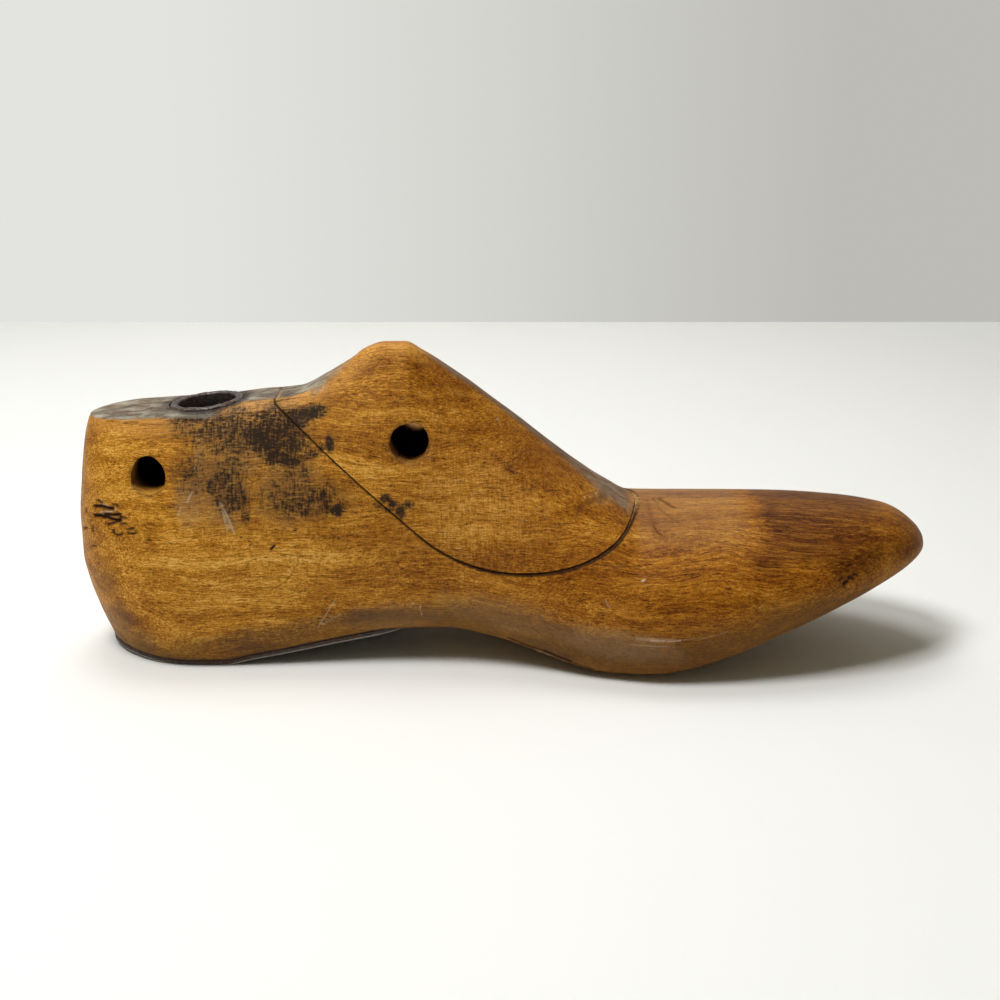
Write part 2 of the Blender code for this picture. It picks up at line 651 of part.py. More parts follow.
def build():
    for obj in list(bpy.data.objects):
        bpy.data.objects.remove(obj)
    scene = bpy.context.scene
    parts = bpy.data.collections.new("cobbler_last")
    cutters = bpy.data.collections.new("cutters")
    scene.collection.children.link(parts)
    scene.collection.children.link(cutters)

    wood = make_material("old_beech", (0.34, 0.165, 0.045), 0.45, 0.0)
    block_wood = make_material("block_beech", (0.37, 0.18, 0.048), 0.45, 0.0)
    steel = make_material("thimble_steel", (0.20, 0.19, 0.20), 0.38, 1.0)
    iron = make_material("plate_iron", (0.10, 0.085, 0.08), 0.55, 1.0)
    nail_iron = make_material("nail_iron", (0.13, 0.11, 0.10), 0.50, 1.0)
    pin_steel = make_material("pin_steel", (0.42, 0.40, 0.37), 0.35, 1.0)
    brass = make_material("bush_brass", (0.55, 0.38, 0.14), 0.40, 1.0)

    # The block's origin is on the line that it lifts along
    lift = Vector((-math.cos(LIFT_ANGLE), 0, math.sin(LIFT_ANGLE)))
    root = Vector((place(PIN_STATION), 0, cut_height(PIN_STATION)))
    body = last_shape("last_body", wood, parts)
    block = last_shape("scoop_block", block_wood, parts)
    block.data.transform(Matrix.Translation(-root))
    block.location = root

    # Saw cut
    scoop = extruded("scoop_cutter", cut_outline(0, 0), REACH, cutters)
    keep = extruded("block_keeper", cut_outline(KERF_BACK, KERF_UP), REACH, cutters)
    boolean(body, scoop)
    boolean(block, keep, "INTERSECT", "MANIFOLD")

    # Jack thimble in the heel top
    seat = Vector((place(THIMBLE_STATION), THIMBLE_SHIFT, along(TOP_LINE, THIMBLE_STATION)))
    down = Vector((math.sin(THIMBLE_TILT), 0, -math.cos(THIMBLE_TILT)))
    inner = THIMBLE_BORE / 2
    outer = inner + THIMBLE_WALL
    turned("jack_thimble", lipped_tube(inner, outer, 0, THIMBLE_DEPTH), ROUND_STEPS, steel, parts, seat, down)
    well_end = THIMBLE_DEPTH + THIMBLE_END_ROOM
    socket_end = THIMBLE_DEPTH + GAP
    lip_seat = LIP_THICKNESS - LIP_RISE + GAP
    lip_room = outer + LIP_REACH + GAP
    socket_profile = [(0, well_end), (inner, well_end), (inner, socket_end), (outer + GAP, socket_end),
                      (outer + GAP, lip_seat), (lip_room, lip_seat), (lip_room, -HEAD_REACH),
                      (0, -HEAD_REACH)]
    socket = turned("socket_cutter", socket_profile, ROUND_STEPS, None, cutters, seat, down)
    boolean(body, socket)

    # Cross holes for the last hook
    for name, target, station, height, radius in (
            ("heel_hole_cutter", body, HEEL_HOLE_STATION, HEEL_HOLE_HEIGHT, HEEL_HOLE_RADIUS),
            ("block_hole_cutter", block, BLOCK_HOLE_STATION, BLOCK_HOLE_HEIGHT, BLOCK_HOLE_RADIUS)):
        middle = Vector((place(station), 0, height))
        across = Vector((0, 1, 0))
        hole = turned(name, rod(radius, -REACH, REACH), ROUND_STEPS, None, cutters, middle, across)
        boolean(target, hole, solver="MANIFOLD")

    # Steel pin in the body, brass bush in the block
    pin_profile = [(0, PIN_STANDING), (PIN_RADIUS - PIN_NOSE, PIN_STANDING),
                   (PIN_RADIUS, PIN_STANDING - PIN_NOSE), (PIN_RADIUS, PIN_NOSE - PIN_BURIED),
                   (PIN_RADIUS - PIN_NOSE, -PIN_BURIED), (0, -PIN_BURIED)]
    turned("block_pin", pin_profile, SMALL_ROUND_STEPS, pin_steel, parts, root, lift)
    bush_in = PIN_RADIUS + GAP
    bush_out = bush_in + BUSH_WALL
    pin_hole = turned("pin_cutter", rod(bush_in, -PIN_BURIED - GAP, PIN_STANDING),
                      SMALL_ROUND_STEPS, None, cutters, root, lift)
    boolean(body, pin_hole)
    bush = turned("pin_bush", tube(bush_in, bush_out, -BUSH_LENGTH, BUSH_LENGTH),
                  SMALL_ROUND_STEPS, brass, parts, root, lift)
    boolean(bush, keep, "INTERSECT")
    bush_hole = turned("bush_cutter", rod(bush_out + GAP, -BUSH_LENGTH, BUSH_LENGTH + GAP),
                       SMALL_ROUND_STEPS, None, cutters, root, lift)
    boolean(block, bush_hole, solver="MANIFOLD")

    # Heel plate and nails
    plate = plate_shape("heel_plate", iron, parts)
    floor_cut = box("floor_cutter", (-REACH, -REACH, -REACH), (REACH * 4, REACH, 0), cutters)
    boolean(plate, floor_cut)
    boolean(body, floor_cut)
    for number, (part, side) in enumerate(NAIL_PLACES, 1):
        station = part * PLATE_FRONT
        across = nail_across(station, side)
        up = plate_normal(station, across)
        seat = plate_point(station, across) - up * PLATE_THICKNESS
        seat.z = max(seat.z, 0.0)
        seat += up * NAIL_SINK
        name = "heel_nail_%d" % number
        cone = NAIL_HEAD_RIM + (NAIL_HEAD_RADIUS - NAIL_SHANK_RADIUS) * NAIL_HEAD_SLOPE
        nail_profile = [(0, NAIL_LENGTH), (NAIL_TIP_RADIUS, NAIL_LENGTH),
                        (NAIL_SHANK_RADIUS, NAIL_LENGTH - NAIL_POINT), (NAIL_SHANK_RADIUS, cone),
                        (NAIL_HEAD_RADIUS, NAIL_HEAD_RIM), (NAIL_HEAD_RADIUS, 0), (0, 0)]
        turned(name, nail_profile, SMALL_ROUND_STEPS, nail_iron, parts, seat, up)
        head_room = NAIL_HEAD_RADIUS + GAP
        shank_room = NAIL_SHANK_RADIUS + GAP
        sink_profile = [(0, NAIL_LENGTH), (shank_room, NAIL_LENGTH), (shank_room, cone + GAP),
                        (head_room, NAIL_HEAD_RIM + GAP), (head_room, -HEAD_REACH),
                        (0, -HEAD_REACH)]
        sink = turned(name + "_sink", sink_profile, SMALL_ROUND_STEPS, None, cutters, seat, up)
        boolean(plate, sink)
        drill = turned(name + "_drill", rod(shank_room, -HEAD_REACH, NAIL_LENGTH + GAP),
                       SMALL_ROUND_STEPS, None, cutters, seat, up)
        boolean(body, drill)

    for cutter in cutters.objects:
        cutter.hide_render = True
        cutter.display_type = "WIRE"


build()
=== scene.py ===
"""Looks of an old wooden cobbler's last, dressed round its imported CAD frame.

+X points to the toe and +Z up. The arch side, which faces -Y, is the side in the photograph.
"""
import math

import bmesh
import bpy
import numpy as np
from mathutils import Matrix, Vector, noise


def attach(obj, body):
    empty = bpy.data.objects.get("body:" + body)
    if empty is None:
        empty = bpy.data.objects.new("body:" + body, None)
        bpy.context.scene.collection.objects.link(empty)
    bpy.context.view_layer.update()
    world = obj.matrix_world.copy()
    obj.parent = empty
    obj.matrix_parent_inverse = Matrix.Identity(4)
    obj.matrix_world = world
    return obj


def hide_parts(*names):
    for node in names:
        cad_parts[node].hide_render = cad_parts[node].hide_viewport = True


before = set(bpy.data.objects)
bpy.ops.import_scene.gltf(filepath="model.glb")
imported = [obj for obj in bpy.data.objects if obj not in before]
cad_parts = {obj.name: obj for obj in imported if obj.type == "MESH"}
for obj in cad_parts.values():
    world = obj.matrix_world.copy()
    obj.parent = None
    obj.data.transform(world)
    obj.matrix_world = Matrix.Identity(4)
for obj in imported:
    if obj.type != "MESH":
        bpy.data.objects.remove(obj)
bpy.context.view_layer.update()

MM = 0.001

# Overall sizes of the last, in metres, as in the CAD. Stations are parts of its length.
LAST_LENGTH = 0.24
HEEL_TOP_HEIGHT = 0.0699
PEAK_HEIGHT = 0.0874
VAMP_HEIGHT = 0.043
TIP_HEIGHT = 0.0298
ARCH_RISE = 0.0094
EDGE_LIFT = 0.0034
HEEL_HALF = 0.0525 / 2
BALL_HALF = 0.0765 / 2
HEEL_TOP_HALF = 0.0236 / 2
RIDGE_HALF = 0.005 / 2
TIP_SWING = 0.003
TREAD_WEAR = 0.0003
PLATE_THICKNESS = 0.0014
PLATE_INSET = 0.0005
PLATE_FRONT = 0.4
PLATE_FRONT_ROUND = 0.06
GAP = 0.0003
SOLE_ON_PLATE = PLATE_THICKNESS + GAP

# The round ends: how far each rounding runs, as a part of the length
HEEL_ROUND = 0.13
HEEL_TOP_ROUND = 0.055
TOE_ROUND = 0.35
NOSE_ROUND = 0.05
ROUND_POWER = 2.15
TOE_POWER = 2.0
TOP_CROWN = 0.05

# Jack thimble
THIMBLE_BORE = 0.016
THIMBLE_WALL = 0.0013
THIMBLE_DEPTH = 0.042
THIMBLE_STATION = 0.156
THIMBLE_SHIFT = 0.0006
LIP_REACH = 0.001
LIP_THICKNESS = 0.0014
LIP_RISE = 0.0007
THIMBLE_TILT = math.radians(5.5)
THIMBLE_END_ROOM = 0.0025

# Cross holes for the last hook: station, height and radius
HEEL_HOLE = (0.1005, 0.0539, 0.0049)
BLOCK_HOLE = (0.3959, 0.0626, 0.0053)
HOLES = (HEEL_HOLE, BLOCK_HOLE)

# Saw cut: a straight run into a scoop, rounder at its back
CUT_ANGLE = math.radians(40.1)
CUT_BACK_RADIUS = 0.0365
CUT_FRONT_RADIUS = 0.0587
CUT_LOW_STATION = 0.5069
CUT_LOW_HEIGHT = 0.0292
CUT_END_ANGLE = math.radians(56.0)
KERF_BACK = 0.00012
KERF_UP = 0.00048
LIFT_ANGLE = math.radians(48.0)

# Steel pin in the body and its brass bush in the block
PIN_STATION = 0.49
PIN_RADIUS = 0.0025
PIN_BURIED = 0.015
PIN_STANDING = 0.013
BUSH_WALL = 0.0011
BUSH_LENGTH = 0.015

# Where wear and colour begin and end along the last, as stations
HEEL_TOP_END = 0.34
WORN_EDGE_END = 0.36
BEVEL_START = 0.1667
BEVEL_END = 0.2917
PEAK_STATION = 0.385
RIDGE_START = 0.4
RIDGE_WIDENS = 0.54
RIDGE_END = 0.66
CHIP_START = 0.498
CHIP_END = 0.603
SHEEN_START = 0.645
SHEEN_END = 0.8
TOE_CAP_START = 0.776
TOE_CAP_FADES = 0.915

# How finely the skin is drawn. The side in the photograph gets most of it.
SKIN_STATIONS = 215
SKIN_HEEL_STEPS = 40
SKIN_TOE_STEPS = 165
ARCH_STEPS = {"bottom": 8, "lower": 26, "upper": 76, "corner": 10, "top": 6}
OUTER_STEPS = {"bottom": 8, "lower": 16, "upper": 40, "corner": 6, "top": 6}
CURVE_SAMPLES = 160
SIDE_CURVES = 500
PIN_STEPS = 48
THIMBLE_STEPS = 128
LIP_STEPS = 10
PLATE_FRONT_STEPS = 16
PLATE_ROWS = 22
SHARP_ANGLE = math.radians(38.0)

# The cutters reach past the last, and are drawn finely over the span that lies in the wood
REACH = 0.1
SAW_SPAN = 0.036
SAW_LEVELS = 29
CUT_STEPS = 70
HOLE_SPAN = 0.024
HOLE_LEVELS = 33
HOLE_STEPS = 72
HOLE_TAPER = 0.2

# Stage, lamps and camera
STAGE_SIZE = 3.0
WALL_DISTANCE = 0.467
FAR_PALE = (0.78, 0.78, 0.765)
# Painted falloff of light across the wall, lighter at the left
WALL_FALLOFF = [(0.1, (0.77, 0.77, 0.75)), (0.5, (0.65, 0.655, 0.615)), (0.9, (0.51, 0.5, 0.475))]
SKY_COLOUR = (1.0, 1.0, 0.72)
SKY_STRENGTH = 0.14
LAMP_AIM = Vector((0, 0, 0.02))
CAMERA_TILT = math.radians(18.5)
CAMERA_DISTANCE = 0.397
CAMERA_SIDEWAYS = -0.0007
CAMERA_AIM_HEIGHT = 0.041
LENS = 50.0
SENSOR = 36.0


def scaled(size, *points, base=0.0):
    """Points of a heel-to-toe line whose values are parts of one size."""
    return [(station, base + part * size) for station, part in points]


# Each line below runs from heel to toe: (part of the length, value)
SOLE_LINE = [
    *scaled(ARCH_RISE, (0.0, 0.1), (0.07, 0.02), base=SOLE_ON_PLATE),
    (0.1, SOLE_ON_PLATE - TREAD_WEAR),
    (0.165, SOLE_ON_PLATE - TREAD_WEAR),
    *scaled(ARCH_RISE, (0.205, 0.13), (0.255, 0.33), (0.31, 0.56), (0.37, 0.76), base=SOLE_ON_PLATE),
    *scaled(ARCH_RISE, (0.43, 0.97), (0.49, 0.7), (0.54, 0.32), (0.585, 0.05)),
    (0.62, -TREAD_WEAR),
    (0.68, -TREAD_WEAR),
    *scaled(TIP_HEIGHT, (0.71, 0.03), (0.76, 0.14), (0.83, 0.35), (0.9, 0.59), (0.955, 0.79),
            (1.0, 0.93)),
]
EDGE_LIFT_LINE = scaled(
    EDGE_LIFT, (0.0, 0.06), (0.2, 0.06), (0.35, 0.18), (0.45, 0.24), (0.54, 0.41), (0.62, 0.59),
    (0.7, 0.76), (0.82, 1.0), (0.92, 0.71), (1.0, 0.24))
ARCH_SOLE_WIDTH_LINE = [
    *scaled(HEEL_HALF, (0.0, 0.8), (0.08, 0.885), (0.145, 0.9), (0.25, 0.85), (0.34, 0.77), (0.43, 0.73)),
    *scaled(BALL_HALF, (0.48, 0.52), (0.54, 0.635), (0.6, 0.775), (0.665, 0.85), (0.74, 0.865),
            (0.85, 0.85), (1.0, 0.78)),
]
OUTER_SOLE_WIDTH_LINE = [
    *scaled(HEEL_HALF, (0.0, 0.8), (0.08, 0.89), (0.145, 0.92), (0.25, 0.95), (0.34, 1.0), (0.43, 1.11)),
    *scaled(BALL_HALF, (0.52, 0.86), (0.6, 0.94), (0.655, 0.93), (0.74, 0.885), (0.85, 0.855), (1.0, 0.8)),
]
ARCH_WIDTH_LINE = [
    *scaled(HEEL_HALF, (0.0, 0.97), (0.14, 1.0), (0.25, 0.965), (0.35, 0.93), (0.43, 0.96)),
    *scaled(BALL_HALF, (0.52, 0.765), (0.6, 0.895), (0.675, 0.976), (0.76, 0.985), (0.86, 0.97), (1.0, 0.9)),
]
OUTER_WIDTH_LINE = [
    *scaled(HEEL_HALF, (0.0, 0.98), (0.14, 1.0), (0.25, 1.04), (0.35, 1.1), (0.43, 1.2)),
    *scaled(BALL_HALF, (0.52, 0.935), (0.6, 1.02), (0.66, 1.024), (0.75, 0.995), (0.86, 0.97), (1.0, 0.92)),
]
WIDEST_HEIGHT_LINE = [
    *scaled(HEEL_TOP_HEIGHT, (0.0, 0.37), (0.25, 0.36), (0.4, 0.37), (0.52, 0.34)),
    *scaled(VAMP_HEIGHT, (0.6, 0.45), (0.69, 0.42), (0.77, 0.46), (0.86, 0.58)),
    *scaled(TIP_HEIGHT, (0.93, 0.94), (1.0, 1.02)),
]
TOP_LINE = [
    *scaled(HEEL_TOP_HEIGHT, (0.0, 0.96), (0.045, 0.977), (0.1, 0.988), (0.16, 1.0), (0.215, 1.021),
            (0.262, 1.043)),
    *scaled(PEAK_HEIGHT, (0.295, 0.882), (0.322, 0.931), (0.343, 0.974), (0.365, 0.993), (0.388, 0.994),
            (0.408, 0.966), (0.45, 0.89), (0.505, 0.776), (0.55, 0.678), (0.59, 0.594), (0.625, 0.526)),
    *scaled(VAMP_HEIGHT, (0.655, 0.976), (0.71, 0.967), (0.78, 0.97), (0.85, 0.968), (0.905, 0.96),
            (0.95, 0.935), (1.0, 0.87)),
]
TOP_WIDTH_LINE = [
    *scaled(HEEL_TOP_HALF, (0.0, 0.92), (0.06, 0.96), (0.15, 1.0), (0.215, 0.94), (0.265, 0.72),
            (0.31, 0.46)),
    *scaled(RIDGE_HALF, (0.345, 1.2), (0.4, 1.0), (0.52, 1.0), (0.6, 0.9), (0.66, 1.0), (0.74, 1.4),
            (0.9, 1.6), (1.0, 1.4)),
]
FULLNESS_LINE = [(0.0, 2.0), (0.2, 1.9), (0.3, 1.85), (0.5, 1.85), (0.59, 1.95), (0.66, 2.05),
                 (1.0, 2.05)]
SHOULDER_LINE = [(0.0, 0.96), (0.25, 0.96), (0.34, 0.86), (0.48, 0.84), (0.58, 0.74), (0.64, 0.62),
                 (0.72, 0.56), (1.0, 0.52)]
SWING_LINE = [(0.0, 0.0), (0.5, 0.0), (0.7, 0.3), (1.0, 1.0)]
BACK_LINE = [(0.0, 0.0292), (0.07, 0.0238), (0.17, 0.0142), (0.285, 0.005), (0.4, 0.0), (0.54, 0.0003),
             (0.7, 0.0053), (0.86, 0.0122), (0.96, 0.02), (1.0, 0.032)]
BACK_FADE = 0.26
LOWER_ROLL = 0.7
LOWER_POWER = 2.2
SOLE_POWER = 2.4

# Worn rounding along the edge of the top face, as distances back from the corner
ARCH_CORNER_LINE = [(0.0, 0.001), (0.06, 0.0013), (0.12, 0.0018), (0.175, 0.003), (0.24, 0.0038),
                    (0.295, 0.0036), (0.33, 0.0016), (0.36, 0.001), (0.4, 0.0007), (0.65, 0.0006),
                    (0.72, 0.0022), (1.0, 0.0026)]
OUTER_CORNER_LINE = [(0.0, 0.001), (0.25, 0.0013), (0.34, 0.001), (0.65, 0.0006), (0.72, 0.0022),
                     (1.0, 0.0026)]

# Where the sides low down start to be painted darker as shade, and turn dull: height in mm
LOW_SHADE_LINE = [(0.0, 12.0), (0.2, 11.0), (0.29, 14.0), (0.35, 21.0), (0.44, 25.0), (0.52, 22.0), (0.6, 18.0),
             (0.68, 16.5), (0.75, 22.0), (0.85, 28.0), (0.95, 31.0), (1.0, 32.0)]

# Marks on the arch side, as in the photograph. Each row is a half width, a depth and a strength,
# then x and z of the points of its path, in mm and parts of 1.
RING_DENT = [value for turn in range(17)
             for value in (-66.9 + 2.05 * math.cos(turn * math.pi / 8),
                           55.0 + 2.05 * math.sin(turn * math.pi / 8))]
ARCH_MARKS = {"dark": [
    # Marks of a tool in front of the heel's back
    (0.68, 0.6, 1, -111.7, 44.6, -109.7, 45, -107.8, 45, -106, 45),
    (0.51, 0.45, 0.9, -110.7, 46.4, -109.2, 46), (0.51, 0.4, 0.85, -105.7, 46.2, -104.2, 46),
    (0.71, 0.7, 1, -111.9, 42, -109.8, 42.4, -107.4, 42.4, -105.7, 42.1, -103.8, 42.2),
    (0.58, 0.55, 1, -108.5, 43.1, -105.9, 43.4, -103.7, 43.8, -103.6, 42.8),
    (0.47, 0.45, 0.9, -107.4, 40.6, -105.7, 41.3, -103.8, 42), (0.44, 0.35, 0.85, -103, 43.2, -101.9, 43),
    (0.4, 0.3, 0.8, -103.6, 41.3, -102, 41.6),
    (0.4, 0.3, 0.85, -105.6, 39.4, -105.9, 38.9, -105.2, 38.3, -104, 38.2, -102.9, 38.9),
    (0.44, 0.3, 0.85, -101.1, 40.2, -99.8, 40.7),
    (0.44, 0.3, 0.85, -101.6, 39.2, -100.4, 39, -99.1, 39.3, -99, 39.8),
    (0.4, 0.3, 0.75, -112.7, 38.8, -112.7, 37.7), (0.44, 0.3, 0.75, -116.6, 36.6, -115.1, 37.6),
    (0.4, 0.25, 0.75, -115, 42.9, -115, 41.8), (0.4, 0.25, 0.75, -112.6, 43.6),
    # Specks and worm holes
    (0.42, 0.3, 0.85, -95.6, 37.9, -95, 37.6), (0.3, 0.22, 0.8, -113.2, 33.1, -111.8, 33.6),
    (0.28, 0.2, 0.7, -80.2, 41), (0.28, 0.25, 0.75, -56.5, 39.9, -55.9, 40.1),
    (0.36, 0.45, 1, -62.6, 35.1, -62.1, 35.7, -61.6, 36.1), (0.26, 0.2, 0.7, -64.2, 15.5, -63.2, 15.4),
    (0.34, 0.1, 0.75, 0.8, 55.4, 2, 54.9, 3, 54.3), (0.28, 0.1, 0.6, 1.9, 55.9, 2.6, 55.6),
    (0.22, 0.2, 0.7, -29.5, 73.2, -28.9, 73), (0.26, 0.15, 0.6, -12, 52.9, -10.6, 52.8),
    (0.24, 0.15, 0.55, 22, 38.6, 23.4, 38.5), (0.24, 0.15, 0.55, 30, 33, 31.8, 32.8),
    # A small knot under the toe
    (0.8, 0.3, 0.95, 91.8, 27, 92.6, 27.6), (0.7, 0.25, 0.9, 93.2, 28.6, 94.4, 28),
    (0.5, 0.25, 0.8, 94.6, 29.2, 95.8, 28.9), (0.45, 0.15, 0.75, 90.2, 28.2, 91.2, 28.8),
    (0.35, 0.15, 0.6, 90.6, 26.4, 92.4, 26),
    # Dark pores along the grain
    (0.16, 0.08, 0.75, -4.8, 51.1, -0.6, 50.9), (0.18, 0.1, 0.85, 5, 50.2, 7.9, 50.1),
    (0.16, 0.08, 0.8, 11.5, 49.5, 16, 49.1), (0.16, 0.08, 0.8, 13.5, 42.2, 19.1, 41.9),
    (0.16, 0.08, 0.7, 25.8, 41.3, 28.5, 41), (0.15, 0.08, 0.7, -3.6, 57.9, -0.3, 57.8),
    (0.15, 0.08, 0.75, 24.6, 32.8, 30, 32.4, 37.2, 32.2), (0.14, 0.06, 0.6, -6.4, 43, -1.5, 43.1),
    (0.14, 0.06, 0.6, -22, 66.5, -16.5, 66.2), (0.14, 0.06, 0.6, -16, 52.6, -11, 52.4),
    (0.14, 0.06, 0.55, -60, 33.4, -48, 33), (0.14, 0.06, 0.55, -52, 37.9, -42.5, 37.6),
    (0.14, 0.06, 0.55, -70, 27.6, -58, 27.4), (0.14, 0.06, 0.55, 21, 47.2, 26, 46.9),
    (0.14, 0.06, 0.5, 53, 33.5, 60, 33.9), (0.14, 0.06, 0.55, 47, 30.6, 51, 30.8),
    (0.16, 0.15, 0.75, -73, 69.6, -66, 69.9, -61, 69.7),
    (0.15, 0.15, 0.75, -62, 72, -57.5, 72.6, -53.5, 73.2), (0.14, 0.12, 0.65, -56, 71, -49, 72.4),
    # Cracks in front of the block, and the chipped edge of the sole, darkened partly as painted shade under
    # the edge
    (0.22, 0.1, 0.55, 41.5, 39, 42.4, 38.1, 43.6, 37.7),
    (0.14, 0.1, 0.55, 40.2, 42.2, 43.6, 41.8, 46.8, 41.4, 48.6, 41.2),
    (0.12, 0.08, 0.45, 42.3, 42, 45.4, 40.6, 48.8, 39.6), (0.3, 0.2, 0.85, -27.5, 8.6, -26.5, 9.4),
    (0.42, 0.25, 0.85, 1.5, 8.9, 5, 7.7, 11.3, 6.2), (0.62, 0.3, 0.9, 11.3, 6.3, 15, 5.2, 18.6, 4.2),
    (0.4, 0.2, 0.8, 18.6, 4.2, 22, 3.1, 24.6, 2.4),
], "pale": [
    (0.26, 0.1, 0.75, -109.4, 45.9, -108.1, 45.7, -107.1, 45.6),
    (0.24, 0.1, 0.7, -109.8, 43.5, -107.8, 44, -105.9, 44.2), (0.24, 0.1, 0.75, -105, 45.2, -104.9, 44.4),
    (0.16, 0.05, 0.65, -109.2, 42.7, -108.6, 42.8), (0.14, 0.05, 0.6, -106.6, 42.7, -104.8, 42.8),
    (0.16, 0.06, 0.7, -75.5, 45.5, -74.1, 39.9), (0.2, 0.06, 0.8, -74.8, 45.5, -73.5, 42.8, -72.3, 39.4),
    (0.5, 0.02, 0.3, -75.8, 47.5, -73.4, 41), (0.34, 0.02, 0.45, -84.8, 48, -83.6, 50.4),
    (0.3, 0.02, 0.4, -87.2, 44.5, -86.6, 46.4), (0.22, 0.02, 0.55, -83, 56.4), (0.2, 0.02, 0.5, -82, 63.2),
    (0.16, 0.05, 0.6, -51.2, 11.4, -48.7, 15.6, -46, 20.2), (0.14, 0.04, 0.5, -49.7, 12.7, -44.6, 15.7),
    (0.14, 0.05, 0.6, -22.6, 18.4, -22.4, 15.4), (0.12, 0.05, 0.45, -24.6, 19.6, -24.9, 18),
    (0.2, 0.04, 0.4, 27.4, 24.4, 28, 23.2, 28.5, 22.6), (0.24, 0.02, 0.95, -1.4, 66.7),
    (0.24, 0.02, 0.9, 22.5, 46.6), (0.26, 0.02, 1, 37.2, 29.3, 37.8, 29.6), (0.2, 0.02, 0.85, -58, 29.3),
    (0.3, 0.03, 0.8, 39.6, 14.1, 43, 14), (0.26, 0.03, 0.7, 44, 13.8, 47.4, 14.2),
    (0.6, 0.02, 0.28, 36, 14.4, 46, 14.2), (0.14, 0.02, 0.25, 48, 14.4, 54, 14.8, 60, 16.4),
    (0.14, 0.02, 0.35, 34, 12.6, 46, 12.2),
    (0.16, 0.02, 0.45, 9, 5.9, 13, 4.9, 18, 3.3),
], "rust": [
    (1.6, 0.02, 0.6, -111, 44.4, -105, 43.4, -100.4, 39.6),
    (0.8, 0.02, 0.6, -96, 38.1, -94.8, 37.8),
    (1.9, 0.02, 0.55, 91, 27.6, 94.6, 28.6),
    (1, 0.1, 0.7, 41.2, 41, 41.5, 39.4, 42, 38), (0.9, 0.12, 0.85, 41.8, 38.6, 43, 37.6, 44.6, 37.6),
    (0.6, 0.06, 0.5, 44.4, 38.2, 46.4, 37.8),
], "dent": [
    (0.2, 0.14, 0.75, *RING_DENT), (0.18, 0.1, 0.5, -64.9, 62, -64.8, 58.6, -64.9, 55.4),
    (0.18, 0.14, 0.7, -63.2, 23.5, -59.6, 25.5, -57.3, 28, -55.6, 30.8, -55.2, 33),
    (0.75, 0.12, 0.8, 20.5, 43.4, 20.9, 44.8, 22.7, 45.5, 25.3, 45.5, 27.1, 45.4),
    (0.16, 0.1, 0.6, -22.1, 46.8, -18.9, 42.3, -14.1, 36.2, -12, 34.6),
    (0.15, 0.1, 0.5, -16.6, 44.6, -15.8, 37.6),
    (0.15, 0.08, 0.5, -26, 42.2, -18, 41.4, -10, 36.2, -6, 31.6),
    (0.15, 0.08, 0.5, -24, 50, -15, 45.6, -9, 40),
]}

# Marks on the outer side, which the photograph doesn't show
OUTER_MARKS = {"dark": [
    (0.45, 0.35, 0.9, -88, 30, -87.2, 30.6), (0.3, 0.25, 0.8, -52, 44),
    (0.32, 0.25, 0.8, 12, 40, 12.6, 40.2), (0.9, 0.3, 0.9, 66, 22, 67.5, 22.4),
    (0.17, 0.08, 0.7, -34, 56, -27, 55.8), (0.17, 0.08, 0.7, -8, 46, -2, 45.8),
    (0.17, 0.08, 0.6, 28, 33, 36, 32.7),
], "dent": [
    (0.26, 0.12, 0.5, -70, 50, -60, 43, -55, 35), (0.24, 0.1, 0.5, -20, 36, -10, 30),
    (0.9, 0.16, 0.6, 38, 28, 41, 30),
], "pale": [
    (0.2, 0.05, 0.6, -95, 40, -91, 33), (0.18, 0.05, 0.5, -40, 22, -35, 27),
    (0.4, 0.04, 0.6, 30, 15, 33, 15.4), (0.18, 0.05, 0.5, 50, 24, 54, 20),
]}

